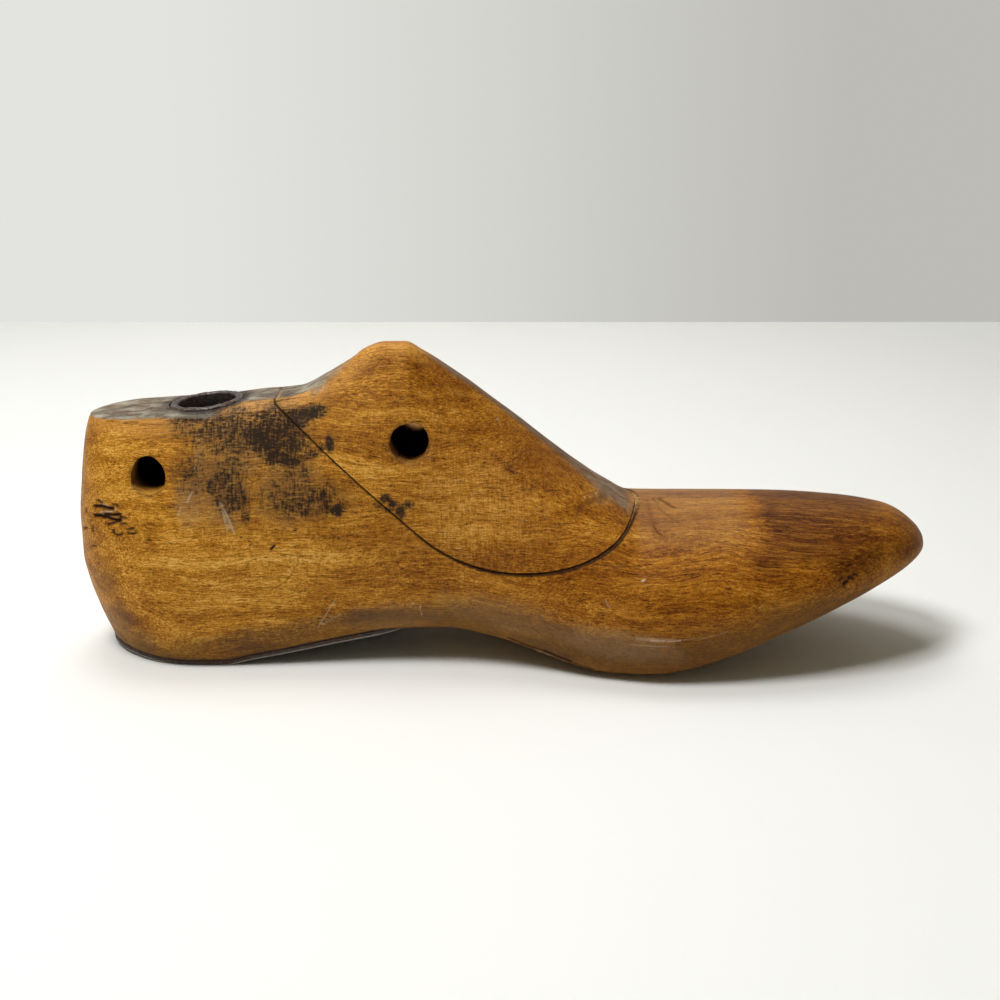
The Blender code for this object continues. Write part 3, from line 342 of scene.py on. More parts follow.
# Soft patches: x, z, half width, half height, turn in degrees and strength, in mm and parts of 1
ARCH_PATCHES = {"stain": [
    (-69.5, 66.8, 7, 2.6, -8, 0.62), (-72.6, 66.6, 1.6, 2.2, 0, 0.8), (-68.2, 64.6, 3.6, 2, -20, 0.85),
    (-63.6, 67.4, 3.4, 3.2, 0, 0.85), (-60, 67.2, 2.8, 2.4, -30, 0.9), (-64.6, 62.8, 4.6, 2.8, -10, 0.95),
    (-61.6, 59, 2.8, 2, 0, 1), (-57.4, 58, 3.6, 1.8, -6, 0.95), (-52.2, 59.4, 2.6, 1.2, 10, 0.8),
    (-55.6, 55, 5.5, 2.2, 0, 0.55), (-57, 52.4, 6, 1.4, 0, 0.5), (-53.6, 69.4, 5.4, 1.9, 12, 1),
    (-54.8, 67, 2.2, 1.4, -20, 1), (-49.6, 70.2, 1.6, 1.6, 0, 0.85), (-46.8, 62.4, 1.1, 2.4, 10, 0.95),
    (-48.6, 61.4, 1.6, 0.8, 20, 0.7), (-78.2, 51.8, 1.7, 2.6, 12, 0.85), (-84.4, 54.8, 2.4, 1.2, 30, 0.7),
    (-82.4, 56, 2.2, 0.6, 10, 0.6), (-72, 52.6, 2.4, 3.4, 8, 0.62), (-71, 48.6, 1.9, 3.4, 10, 0.75),
    (-69.4, 44.6, 1.4, 3.2, 6, 0.68), (-69.6, 57, 6, 5, 0, 0.3), (-60.8, 46.2, 1.6, 1.6, 0, 0.62),
    (-56.4, 46.8, 2.2, 1.5, 0, 0.72), (-53.4, 44.6, 2.4, 1.5, 0, 0.62), (-52, 48, 3.4, 0.9, 10, 0.72),
    (-48.2, 50, 1.6, 1.6, -20, 0.9), (-44.8, 45.6, 1.9, 1.7, 0, 1), (-47.6, 46.4, 2.2, 0.7, 10, 0.8),
    (-31.6, 48.6, 1.6, 1, 25, 0.85), (-29.6, 47.2, 1.4, 1.2, -30, 0.9), (-27.6, 45.2, 1.3, 1.9, 10, 0.95),
    (-30.6, 45.8, 1.7, 0.9, 0, 0.8), (-25.6, 47, 1.6, 1, 0, 0.75), (-33.8, 46.6, 1.2, 0.8, 0, 0.6),
    (-84, 68.2, 6, 0.9, 0, 0.8), (-85.6, 66.4, 3.6, 1.4, 0, 0.45), (-84.5, 67, 6.5, 3.6, 0, 0.55),
    (-74, 65.5, 11, 6.5, -6, 0.7), (-61, 64, 9.5, 7.5, -30, 0.84), (-73.5, 52, 5, 9, 6, 0.66),
    (-54, 48, 12.5, 5, 0, 0.62), (-83, 56, 6, 7, 0, 0.42),
], "smudge": [
    (-88, 69.5, 10, 3, 0, 0.6), (28, 46, 1.5, 1.1, 0, 0.8), (12, 8, 8, 1.4, -18, 0.7),
    (-48, 13.5, 16, 2.2, 8, 0.75), (-68, 8.5, 16, 3.6, 6, 0.85), (-106.5, 13, 4, 5, -30, 0.75),
    (-109.5, 24, 3, 5, -20, 0.45), (-100, 7, 5, 3, -40, 0.6),
], "light": [
    # Lighter patches: partly lighter wood, partly painted light
    (-74, 30, 26, 13, 0, 1), (-104, 52, 10, 14, 0, 0.5), (-8, 44, 15, 8, 0, 0.85), (-62, 40, 12, 6, 0, 0.4),
    (54, 43.5, 14, 4, -4, 1),
], "haze_and_sheen": [
    (-84.4, 47.6, 4, 5.6, 0, 0.75), (-81.6, 58, 1.6, 6.5, -4, 0.6), (-76, 50, 7, 8, 10, 0.55),
    (-72, 60, 8, 6, 0, 0.5), (-58, 50, 8, 8, 0, 0.4), (28.6, 46.5, 4, 2, 0, 0.7),
    (30, 12, 16, 4.5, -6, 0.8), (0, 17, 16, 5, -8, 0.5), (-30, 15, 14, 4, 4, 0.45),
], "rust": [
    (-102.5, 13, 3.4, 2.2, -20, 0.8), (-98, 11, 3, 1.6, -10, 0.55), (-44.2, 50.2, 1.9, 1, 10, 0.85),
    (-53, 44.2, 1.6, 1, 0, 0.75), (1.9, 55.3, 1.8, 1.2, 0, 0.7), (-29.2, 73, 2.2, 1.4, 0, 0.4),
    (12, 56, 8, 3, -42, 0.6), (2, 63, 7, 2.6, -42, 0.45), (-14, 77, 6, 3, -40, 0.6),
    (110, 32, 5, 2, 30, 0.6), (68, 34.6, 3.4, 0.9, 0, 0.65), (78, 37, 8, 1, 4, 0.45),
    (92, 36, 9, 1.2, 0, 0.5), (78, 26, 5, 1.6, 10, 0.4),
], "hatch": [
    (-58, 46, 26, 20, 0, 0.6), (-8, 46, 20, 16, 0, 1), (-30, 62, 20, 12, 0, 0.5), (-40, 32, 22, 8, 0, 0.5),
]}
OUTER_PATCHES = {"stain": [
    (-58, 60, 8, 5, 10, 0.8), (-70, 52, 4, 6, -10, 0.6), (-20, 52, 3, 2, 0, 0.8),
], "haze_and_sheen": [
    (-85, 48, 8, 8, 0, 0.6), (10, 20, 16, 6, 0, 0.5),
], "smudge": [
    (-104, 16, 7, 7, 0, 0.7), (-48, 10, 18, 3, 0, 0.5),
], "rust": [
    (30, 36, 2, 3, 10, 0.6),
], "hatch": [
    (-45, 46, 30, 18, 0, 0.8), (0, 44, 18, 14, 0, 0.8),
]}

# Every kind of mark that a finish reads from the mesh; some of them are painted shade, sheen or light
KINDS = ("dark", "pale", "dent", "stain", "haze_and_sheen", "smudge", "rust", "hatch", "worn", "dirt", "grime_and_shade", "toe",
         "dull", "hole_shade", "sawn", "light")


def place(station):
    """Distance in front of the last's middle."""
    return (station - 0.5) * LAST_LENGTH


CUT_LOW_X = place(CUT_LOW_STATION)
CUT_START_X = CUT_LOW_X - CUT_BACK_RADIUS * math.sin(CUT_ANGLE)
CUT_START_Z = CUT_LOW_HEIGHT + CUT_BACK_RADIUS * (1 - math.cos(CUT_ANGLE))


def along(line, where):
    """Read a heel-to-toe line at one place, without overshoot between its points."""
    if where <= line[0][0]:
        return line[0][1]
    if where >= line[-1][0]:
        return line[-1][1]
    index = 0
    while where > line[index + 1][0]:
        index += 1

    def slope(i):
        return (line[i + 1][1] - line[i][1]) / (line[i + 1][0] - line[i][0])

    def tangent(i):
        if i == 0:
            return slope(0)
        if i == len(line) - 1:
            return slope(i - 1)
        before, after = slope(i - 1), slope(i)
        return 0.0 if before * after <= 0 else 2 * before * after / (before + after)

    (x0, v0), (x1, v1) = line[index], line[index + 1]
    span = x1 - x0
    s = (where - x0) / span
    ease = (2 * s - 3) * s * s
    return ((1 + ease) * v0 - ease * v1
            + s * (1 - s) ** 2 * span * tangent(index)
            + s * s * (s - 1) * span * tangent(index + 1))


def rounded_end(distance, run, power):
    """Width left at a distance from a round end: 0 at the end, 1 from the run on."""
    if distance >= run:
        return 1.0
    left = 1 - max(distance, 0.0) / run
    return (1 - left ** power) ** (1 / power)


def section(station):
    """Sizes of the last's cross-section at one station."""
    toe_end = rounded_end(1 - station, TOE_ROUND, TOE_POWER)
    width = rounded_end(station, HEEL_ROUND, ROUND_POWER) * toe_end
    nose = rounded_end(1 - station, NOSE_ROUND, ROUND_POWER)
    top_half = along(TOP_WIDTH_LINE, station) * toe_end * rounded_end(station, HEEL_TOP_ROUND, ROUND_POWER)
    sole = along(SOLE_LINE, station)
    heights = {"sole": sole, "edge": sole + along(EDGE_LIFT_LINE, station), "top": along(TOP_LINE, station),
               "widest": along(WIDEST_HEIGHT_LINE, station)}
    return {
        **{name: TIP_HEIGHT + (height - TIP_HEIGHT) * nose for name, height in heights.items()},
        "middle": -TIP_SWING * along(SWING_LINE, station),
        "top_half": top_half,
        "crown": TOP_CROWN * top_half,
        "fullness": along(FULLNESS_LINE, station),
        "shoulder": along(SHOULDER_LINE, station),
        -1: (along(ARCH_SOLE_WIDTH_LINE, station) * width, along(ARCH_WIDTH_LINE, station) * width),
        1: (along(OUTER_SOLE_WIDTH_LINE, station) * width, along(OUTER_WIDTH_LINE, station) * width),
    }


def back_shift(station, height):
    """How far the heel back leans in at this height, fading out towards the waist."""
    s = min(station / BACK_FADE, 1.0)
    return along(BACK_LINE, height / HEEL_TOP_HEIGHT) * LAST_LENGTH * (1 - s * s * (3 - 2 * s))


def half_section(station, side):
    """(x, y, z) points from the middle of the sole, round one side, to the middle of the top."""
    size = section(station)
    sole_half, wide_half = size[side]
    top_half = size["top_half"]
    steps = ARCH_STEPS if side < 0 else OUTER_STEPS
    points = []
    for i in range(steps["bottom"]):
        across = i / steps["bottom"]
        lift = (size["edge"] - size["sole"]) * across ** SOLE_POWER
        points.append((sole_half * across, size["sole"] + lift))
    for i in range(steps["lower"]):
        down = (1 - i / steps["lower"]) ** 1.25
        out = (1 - down ** LOWER_POWER) ** LOWER_ROLL
        drop = (size["widest"] - size["edge"]) * down
        points.append((sole_half + (wide_half - sole_half) * out, size["widest"] - drop))

    # The side from its widest place up to the corner of the top face, at even distances
    up = np.sin(np.pi / 2 * np.linspace(0, 1, CURVE_SAMPLES))
    out = np.maximum(1 - up ** size["fullness"], 0.0) ** size["shoulder"]
    across = top_half + (wide_half - top_half) * out
    height = size["widest"] + (size["top"] - size["widest"]) * up
    lengths = np.concatenate([[0], np.cumsum(np.linalg.norm(np.diff([across, height]), axis=0))])
    corner = along(ARCH_CORNER_LINE if side < 0 else OUTER_CORNER_LINE, station)
    corner_side = min(corner, 0.3 * lengths[-1])
    where = np.linspace(0, lengths[-1] - corner_side, steps["upper"] + 1)
    points += zip(np.interp(where, lengths, across), np.interp(where, lengths, height))

    # The worn corner, and half of the crowned top face
    start = Vector(points[-1])
    tip = Vector((top_half, size["top"]))
    inner = 1 - min(corner, 0.75 * top_half) / max(top_half, 1e-9)
    end = Vector((top_half * inner, size["top"] + size["crown"] * (1 - inner ** 2)))
    for i in range(1, steps["corner"] + 1):
        t = i / steps["corner"]
        points.append(tuple(start * (1 - t) ** 2 + tip * 2 * t * (1 - t) + end * t * t))
    for i in range(1, steps["top"] + 1):
        across = inner * (1 - i / steps["top"])
        points.append((top_half * across, size["top"] + size["crown"] * (1 - across ** 2)))
    middle = size["middle"]
    return [(place(station) + back_shift(station, z), middle + side * across, z) for across, z in points]


def skin_stations():
    """Stations close together at the round ends and even between them."""
    stations = []
    for i in range(SKIN_HEEL_STEPS):
        turn = math.pi / 2 * (i + 1) / (SKIN_HEEL_STEPS + 1)
        stations.append(HEEL_ROUND * (1 - math.cos(turn)))
    span = 1 - TOE_ROUND - HEEL_ROUND
    for i in range(SKIN_STATIONS + 1):
        stations.append(HEEL_ROUND + span * i / SKIN_STATIONS)
    for i in range(SKIN_TOE_STEPS - 1, -1, -1):
        turn = math.pi / 2 * (i + 3) / (SKIN_TOE_STEPS + 3)
        stations.append(1 - TOE_ROUND * (1 - math.cos(turn)))
    return stations


def tube(bm, rings, closed=True):
    """Faces from each ring of vertices to the next."""
    for near, far in zip(rings, rings[1:]):
        for i in range(len(near) if closed else len(near) - 1):
            j = (i + 1) % len(near)
            bm.faces.new((near[i], near[j], far[j], far[i]))


def new_object(name, bm, material):
    """Put a finished mesh into the scene, smooth but for its sharp edges."""
    mesh = bpy.data.meshes.new(name)
    bm.to_mesh(mesh)
    bm.free()
    mesh.shade_smooth()
    mesh.set_sharp_from_angle(angle=SHARP_ANGLE)
    if material:
        mesh.materials.append(material)
    obj = bpy.data.objects.new(name, mesh)
    bpy.context.scene.collection.objects.link(obj)
    return obj


def closed_tube(name, bm, rings, material=None):
    """An object from rings of vertices, with a face over each end."""
    tube(bm, rings)
    bm.faces.new(rings[0])
    bm.faces.new(rings[-1])
    bmesh.ops.recalc_face_normals(bm, faces=bm.faces)
    return new_object(name, bm, material)


def last_skin():
    """The whole last in one piece, before it is sawn. Its ends are closed with a ladder of faces."""
    bm = bmesh.new()
    rings = []
    for station in skin_stations():
        points = half_section(station, -1) + half_section(station, 1)[-2:0:-1]
        rings.append([bm.verts.new(point) for point in points])
    tube(bm, rings)
    for ring in (rings[0], rings[-1]):
        for i in range(len(ring) // 2):
            corners = (ring[i], ring[i + 1], ring[-i - 1], ring[-i])
            bm.faces.new(list(dict.fromkeys(corners)))
    bmesh.ops.recalc_face_normals(bm, faces=bm.faces)
    return bm


def noise_at(points, scale, seed=0.0):
    """Smooth noise between about -1 and 1 at an array of points; scale is in 1/mm for each axis."""
    placed = points / MM * np.array(scale) + seed
    return np.array([noise.noise(Vector(p)) for p in placed.tolist()])


def smooth(values):
    """0 below 0, 1 above 1, with soft ends."""
    s = np.clip(values, 0, 1)
    return s * s * (3 - 2 * s)


def rise(values, start, run):
    """From 0 at start to 1 a run further on, with soft ends. With a negative run it is 1 before start."""
    return smooth((values - start) / run)


def line_at(line, stations):
    return np.array([along(line, station) for station in stations])


def path_distance(x, z, xs, zs):
    """Distance in mm from points of the side to a path, which may be a single point."""
    best = np.hypot(x - xs[0], z - zs[0])
    for x0, z0, x1, z1 in zip(xs, zs, xs[1:], zs[1:]):
        run = (x1 - x0) ** 2 + (z1 - z0) ** 2
        t = np.clip(((x - x0) * (x1 - x0) + (z - z0) * (z1 - z0)) / run, 0, 1)
        best = np.minimum(best, np.hypot(x - x0 - t * (x1 - x0), z - z0 - t * (z1 - z0)))
    return best


def marks_near(points, widths, reach):
    """Each mark's kind, half width, depth and strength, with the points near it and their distances."""
    x, y, z = points.T / MM
    for marks, side in ((ARCH_MARKS, y < 0), (OUTER_MARKS, y >= 0)):
        for kind, rows in marks.items():
            for width, deep, strength, *path in rows:
                xs, zs = path[::2], path[1::2]
                margin = width * widths + reach
                box = side & (x > min(xs) - margin) & (x < max(xs) + margin)
                box &= (z > min(zs) - margin) & (z < max(zs) + margin)
                index = np.nonzero(box)[0]
                yield kind, width, deep, strength, index, path_distance(x[index], z[index], xs, zs)


def mark_masks(points):
    """Strength of each kind of mark at each point, and how deep the marks go, in metres."""
    fields = {kind: np.zeros(len(points)) for kind in KINDS}
    depth = np.zeros(len(points))
    ragged = noise_at(points, (1.1, 1.1, 1.1), 7.3)
    for kind, width, deep, strength, index, away in marks_near(points, 1.6, 0.0):
        inside = smooth(1.25 - away / (width * (1 + 0.35 * ragged[index])))
        fields[kind][index] = np.maximum(fields[kind][index], inside * strength)
        depth[index] = np.maximum(depth[index], inside * deep * MM)
    return fields, depth


def patch_masks(points, fields):
    """Soft patches of stain, smudges, haze, rust and rasp marks, and lighter patches that are partly painted
    light.
    """
    x, y, z = points.T / MM
    wander = noise_at(points, (0.22, 0.22, 0.22), 3.1) + 0.5 * noise_at(points, (0.6, 0.6, 0.6), 5.7)
    for patches, side in ((ARCH_PATCHES, y < 0), (OUTER_PATCHES, y >= 0)):
        for kind, rows in patches.items():
            for px, pz, half_x, half_z, turn, strength in rows:
                a = math.radians(turn)
                dx, dz = x - px, z - pz
                u = (dx * math.cos(a) + dz * math.sin(a)) / half_x
                v = (dz * math.cos(a) - dx * math.sin(a)) / half_z
                inside = smooth(1.15 - 0.62 * np.hypot(u, v) ** 1.5 + 0.22 * wander) * strength
                fields[kind] = np.where(side, np.maximum(fields[kind], inside), fields[kind])


def cut_depth(x, z):
    """Signed distance to the saw line, positive on the body's side of it."""
    up_the_run = (z - CUT_START_Z) * math.sin(CUT_ANGLE) - (x - CUT_START_X) * math.cos(CUT_ANGLE)
    straight = -(x - CUT_START_X) * math.sin(CUT_ANGLE) - (z - CUT_START_Z) * math.cos(CUT_ANGLE)
    radius = np.where(x < CUT_LOW_X, CUT_BACK_RADIUS, CUT_FRONT_RADIUS)
    scoop = np.hypot(x - CUT_LOW_X, z - CUT_LOW_HEIGHT - radius) - radius
    return np.where(up_the_run > 0, straight, scoop)


def depth_inside(points):
    """How far in from the nearer side each point is, in mm."""
    curves = {}
    depth = np.zeros(len(points))
    for index, (x, y, z) in enumerate(points.tolist()):
        key = (round((x / LAST_LENGTH + 0.5) * SIDE_CURVES), -1 if y < 0 else 1)
        if key not in curves:
            curve = np.array(half_section(min(max(key[0] / SIDE_CURVES, 0.005), 0.995), key[1]))
            curves[key] = (curve[:, 2], np.abs(curve[:, 1]))
        depth[index] = (np.interp(z, *curves[key]) - abs(y)) / MM
    return depth


def hole_distance(x, z, station, height, radius):
    """Distance in mm outward from the rim of a cross hole."""
    return (np.hypot(x - place(station), z - height) - radius) / MM


def wear_masks(points, normals, fields):
    """Dirt, worn edges, grime, the darker toe, and painted shade and sheen, from where a point is on the
    last.
    """
    def cover(kind, amount):
        fields[kind] = np.maximum(fields[kind], amount)

    x, y, z = points.T
    x_mm, z_mm = x / MM, z / MM
    station = x / LAST_LENGTH + 0.5
    up = normals[:, 2]
    below = (line_at(TOP_LINE, station) - z) / MM
    patchy = noise_at(points, (0.12, 0.12, 0.12), 11.0)
    fine = noise_at(points, (0.5, 0.9, 0.9), 2.0)
    streaky = noise_at(points, (0.02, 0.85, 0.85), 17.0)

    # Dirt on the heel's top and along the ridge
    heel_top = rise(station, HEEL_TOP_END, -0.06) * rise(up, 0.6, 0.25) * smooth(1.4 - below / 3.0)
    cover("dirt", heel_top * (0.92 + 0.25 * fine))
    band = 0.5 + 1.3 * rise(station, RIDGE_WIDENS, 0.09)
    ridge = rise(station, RIDGE_START, 0.04) * rise(station, RIDGE_END, -0.02)
    ridge *= rise(up, 0.5, 0.2) * smooth(1.2 - below / band + 0.25 * fine)
    front = rise(station, RIDGE_WIDENS + 0.02, 0.06)
    cover("dirt", ridge * (0.22 + 0.18 * front))
    cover("smudge", ridge * (1.0 - 0.35 * front))

    # Worn edges: round the heel's top, the bevel in front of the thimble, and the peak
    edge = smooth(1 - np.abs(up - 0.55) / 0.42) * rise(station, WORN_EDGE_END, -0.03)
    cover("worn", edge * smooth(1.2 - below / 6.0) * (0.85 + 0.4 * fine))
    bevel = rise(x_mm, place(BEVEL_START) / MM, 4) * rise(x_mm, place(BEVEL_END) / MM, -4)
    bevel = bevel * rise(up, 0.2, 0.2)
    bevel *= smooth((-y / MM - 4.6 + 1.2 * fine) / 1.2) * smooth(1.4 - below / 6.0)
    cover("worn", bevel)
    fields["dirt"] *= 1 - 0.92 * bevel
    cover("worn", 0.55 * smooth(1 - np.abs(station - PEAK_STATION) / 0.05) * smooth(1.3 - below / 3.2))

    # The sawn faces behind the saw line, and painted shade along the saw line's gap
    kerf = np.abs(cut_depth(x, z)) / MM
    at_cut = np.nonzero(kerf < 1.0)[0]
    inner = np.zeros(len(points))
    inner[at_cut] = depth_inside(points[at_cut])
    cover("sawn", rise(inner, 0.8, 1.2) * smooth((0.26 * LAST_LENGTH + x) / MM))
    # Painted shade along the gap of the saw line, kept in the dark marks
    wide = 0.21 + 0.3 * rise(x_mm, -35, 35) + 0.09 * fine
    cover("dark", smooth((wide + 0.12 - kerf) / 0.24) * smooth(1.4 - inner / 2.4) * 0.88)

    # Painted shade in the gap over the plate, grime round the thimble and at the rims of the holes, and
    # painted shade deep inside the holes
    # Painted shade in the gap between the wood and the plate
    table = np.linspace(0, 1, 241)
    edge_height = np.interp(station, table, [section(s)["edge"] for s in table.tolist()])
    at_plate = smooth(1.2 - (z - edge_height) / MM / 0.55) * rise(station, PLATE_FRONT + 0.004, -0.008)
    cover("grime_and_shade", at_plate * 0.95)
    seat, _ = thimble_line()
    rim = np.hypot(x - seat.x, y - seat.y) / MM - (THIMBLE_BORE / 2 + THIMBLE_WALL + LIP_REACH) / MM
    cover("grime_and_shade", smooth(1.2 - rim / (2.6 + 1.5 * patchy)) * smooth(1.3 - below / 3.6) * 0.85)
    for hole in HOLES:
        away = hole_distance(x, z, *hole)
        at_hole = np.nonzero(away < 0.6)[0]
        # Painted shade, deeper the further into the hole
        fields["hole_shade"][at_hole] = rise(depth_inside(points[at_hole]), 3.0, 7.5)
        cover("grime_and_shade", smooth(1 - np.abs(away) / 0.8) * 0.35)

    # The brown toe cap, the lower sides and sole painted darker as shade and made dull, and a painted sheen
    # on the top of the vamp
    toe_start = TOE_CAP_START + 0.017 * rise(z_mm, 33, 6) + 0.008 * fine + 0.014 * streaky
    toe = rise(station, toe_start, 0.014) * smooth((z_mm - 28.5 + 3.5 * patchy) / 5.0)
    cover("toe", toe * (0.9 + 0.25 * patchy) * (1 - 0.65 * rise(station, TOE_CAP_FADES, 0.05)))
    start_low_shade = np.interp(station, *zip(*LOW_SHADE_LINE)) + 3.0 * patchy + 1.5 * streaky
    # Painted shade: darker low down and on faces that turn downward
    cover("dull", np.maximum(rise(z_mm, start_low_shade, -9.0), rise(up, -0.2, -1.0) * 0.8))
    # Painted sheen on the up-facing top of the vamp
    vamp = rise(station, SHEEN_START, 0.02) * rise(station, SHEEN_END, -0.04)
    cover("haze_and_sheen", rise(up, 0.8, 0.18) * vamp * 0.5)


def wear_depth(points, normals):
    """How far the old surface is worn in at each point, in metres."""
    x, y, z = points.T
    up = normals[:, 2]
    station = x / LAST_LENGTH + 0.5
    fine = noise_at(points, (0.9, 1.3, 1.3), 1.0)
    broad = noise_at(points, (0.07, 0.1, 0.1), 9.0)
    hand = noise_at(points, (0.17, 0.28, 0.28), 4.0)
    depth = mark_masks(points)[1] + (0.1 + 0.1 * broad + 0.022 * hand) * MM * smooth(z / (2 * MM))
    kerf = np.abs(cut_depth(x, z)) / MM
    depth += smooth(1 - kerf / 0.45) * (0.08 + 0.1 * fine) * MM
    for hole in HOLES:
        away = np.maximum(hole_distance(x, z, *hole), 0)
        depth += smooth(1 - away / 1.1) * (0.3 + 0.12 * fine) * MM
    edge = smooth(1 - np.abs(up - 0.45) / 0.45) * rise(station, WORN_EDGE_END, -0.03)
    edge *= smooth(1.2 - (line_at(TOP_LINE, station) - z) / (6 * MM))
    fray = np.abs(noise_at(points, (0.1, 0.9, 0.9), 6.0))
    fray += 0.4 * np.abs(noise_at(points, (0.5, 1.8, 1.8), 8.0))
    depth += edge * fray * 0.55 * MM

    # The chipped edge of the sole in front of the waist
    chip = rise(station, CHIP_START, 0.03) * rise(station, CHIP_END, -0.03) * ((up < 0.2) & (y < 0))
    sole_edge = line_at(SOLE_LINE, station) + line_at(EDGE_LIFT_LINE, station)
    chip *= smooth((1.1 + 0.5 * fine - np.abs(z - sole_edge) / MM) / 0.3)
    return depth + chip * 0.45 * MM


def mesh_arrays(mesh):
    """Positions and normals of a mesh's vertices."""
    arrays = []
    for name in ("co", "normal"):
        values = np.empty(len(mesh.vertices) * 3)
        mesh.vertices.foreach_get(name, values)
        arrays.append(values.reshape(-1, 3))
    return arrays


def refine(bm, inside):
    """Halve the edges of the faces whose centres are inside a region."""
    bm.faces.ensure_lookup_table()
    centres = np.array([face.calc_center_median() for face in bm.faces])
    chosen = np.nonzero(inside(centres))[0]
    edges = list({edge for i in chosen for edge in bm.faces[i].edges})
    bmesh.ops.subdivide_edges(bm, edges=edges, cuts=1, use_grid_fill=True)


def near_cuts(points):
    """Close to the saw line or to the rim of a cross hole."""
    x, z = points[:, 0], points[:, 2]
    near = np.abs(cut_depth(x, z)) < 1.2 * MM
    for hole in HOLES:
        away = hole_distance(x, z, *hole)
        near |= (away > -0.6) & (away < 1.8)
    return near


def near_marks(points):
    """Close to one of the small marks, on either side."""
    near = np.zeros(len(points), bool)
    for _, width, _, _, index, away in marks_near(points, 1.0, 0.5):
        near[index[away < width + 0.5]] = True
    return near


def write_fields(obj):
    """Keep the strength of each kind of mark on the mesh, for its material."""
    points, normals = mesh_arrays(obj.data)
    fields, _ = mark_masks(points)
    patch_masks(points, fields)
    wear_masks(points, normals, fields)
    for kind in KINDS:
        values = np.clip(fields[kind], 0, 1).astype(np.float32)
        obj.data.attributes.new(kind, "FLOAT", "POINT").data.foreach_set("value", values)


def cut(target, cutter, operation="DIFFERENCE"):
    """Cut the target with the cutter for good, and drop the cutter."""
    modifier = target.modifiers.new("cut", "BOOLEAN")
    modifier.operation = operation
    modifier.solver = "EXACT"
    modifier.object = cutter
    depsgraph = bpy.context.evaluated_depsgraph_get()
    mesh = bpy.data.meshes.new_from_object(target.evaluated_get(depsgraph))
    target.modifiers.clear()
    target.data = mesh
    bpy.data.objects.remove(cutter)


def turned(name, profile, steps, material, start, direction, wobble=Vector.copy):
    """A closed (radius, distance) profile turned round the line from start along direction."""
    bm = bmesh.new()
    rings = []
    for i in range(steps):
        angle = 2 * math.pi * i / steps
        ring = [(r * math.cos(angle), r * math.sin(angle), distance) for r, distance in profile]
        rings.append([bm.verts.new(wobble(Vector(point))) for point in ring])
    tube(bm, rings + rings[:1], closed=profile[0][0] > 0)
    bmesh.ops.remove_doubles(bm, verts=bm.verts, dist=1e-7)
    bmesh.ops.recalc_face_normals(bm, faces=bm.faces)
    turn = Vector((0, 0, 1)).rotation_difference(direction).to_matrix().to_4x4()
    bmesh.ops.transform(bm, matrix=Matrix.Translation(start) @ turn, verts=bm.verts)
    return new_object(name, bm, material)


def rod(radius, low, high):
    """Profile of a round rod."""
    return [(0, high), (radius, high), (radius, low), (0, low)]


def saw_cutter(back, up, wobble):
    """The saw line as a cutter, moved back and up by the kerf, with the saw's small wander."""
    line = []
    for i in range(CUT_STEPS, 0, -1):
        up_run = REACH * i / CUT_STEPS
        line.append((CUT_START_X - up_run * math.cos(CUT_ANGLE), CUT_START_Z + up_run * math.sin(CUT_ANGLE)))
    for i in range(CUT_STEPS + 1):
        angle = -CUT_ANGLE + (CUT_END_ANGLE + CUT_ANGLE) * i / CUT_STEPS
        radius = CUT_BACK_RADIUS if angle < 0 else CUT_FRONT_RADIUS
        line.append((CUT_LOW_X + radius * math.sin(angle), CUT_LOW_HEIGHT + radius * (1 - math.cos(angle))))
    outline = []
    for x, z in line:
        wander = noise.noise(Vector((x / MM * 0.35, z / MM * 0.35, wobble))) * 0.05 * MM
        outline.append((x - back, z + up + wander))
    outline += [(outline[-1][0], REACH * 2), (outline[0][0], REACH * 2)]
    bm = bmesh.new()
    levels = [-REACH, *np.linspace(-SAW_SPAN, SAW_SPAN, SAW_LEVELS).tolist(), REACH]
    return closed_tube("saw", bm, [[bm.verts.new((x, level, z)) for x, z in outline] for level in levels])


def hole_cutter(station, height, radius, seed):
    """An old cross hole: not quite round, and narrower towards the outer side."""
    bm = bmesh.new()
    rings = []
    for level in [-REACH, *np.linspace(-HOLE_SPAN, HOLE_SPAN, HOLE_LEVELS).tolist(), REACH]:
        ring = []
        for i in range(HOLE_STEPS):
            angle = 2 * math.pi * i / HOLE_STEPS
            egg = 1 + 0.05 * math.cos(angle - seed) + 0.03 * math.cos(3 * angle + seed)
            rough = 0.03 * noise.noise(Vector((math.cos(angle) * 3, math.sin(angle) * 3, seed)))
            r = radius * (egg + rough) * (1 - HOLE_TAPER * min(max(level / HOLE_SPAN, 0), 1))
            x = place(station) + r * math.cos(angle)
            ring.append(bm.verts.new((x, level, height + r * math.sin(angle))))
        rings.append(ring)
    return closed_tube("hook", bm, rings)


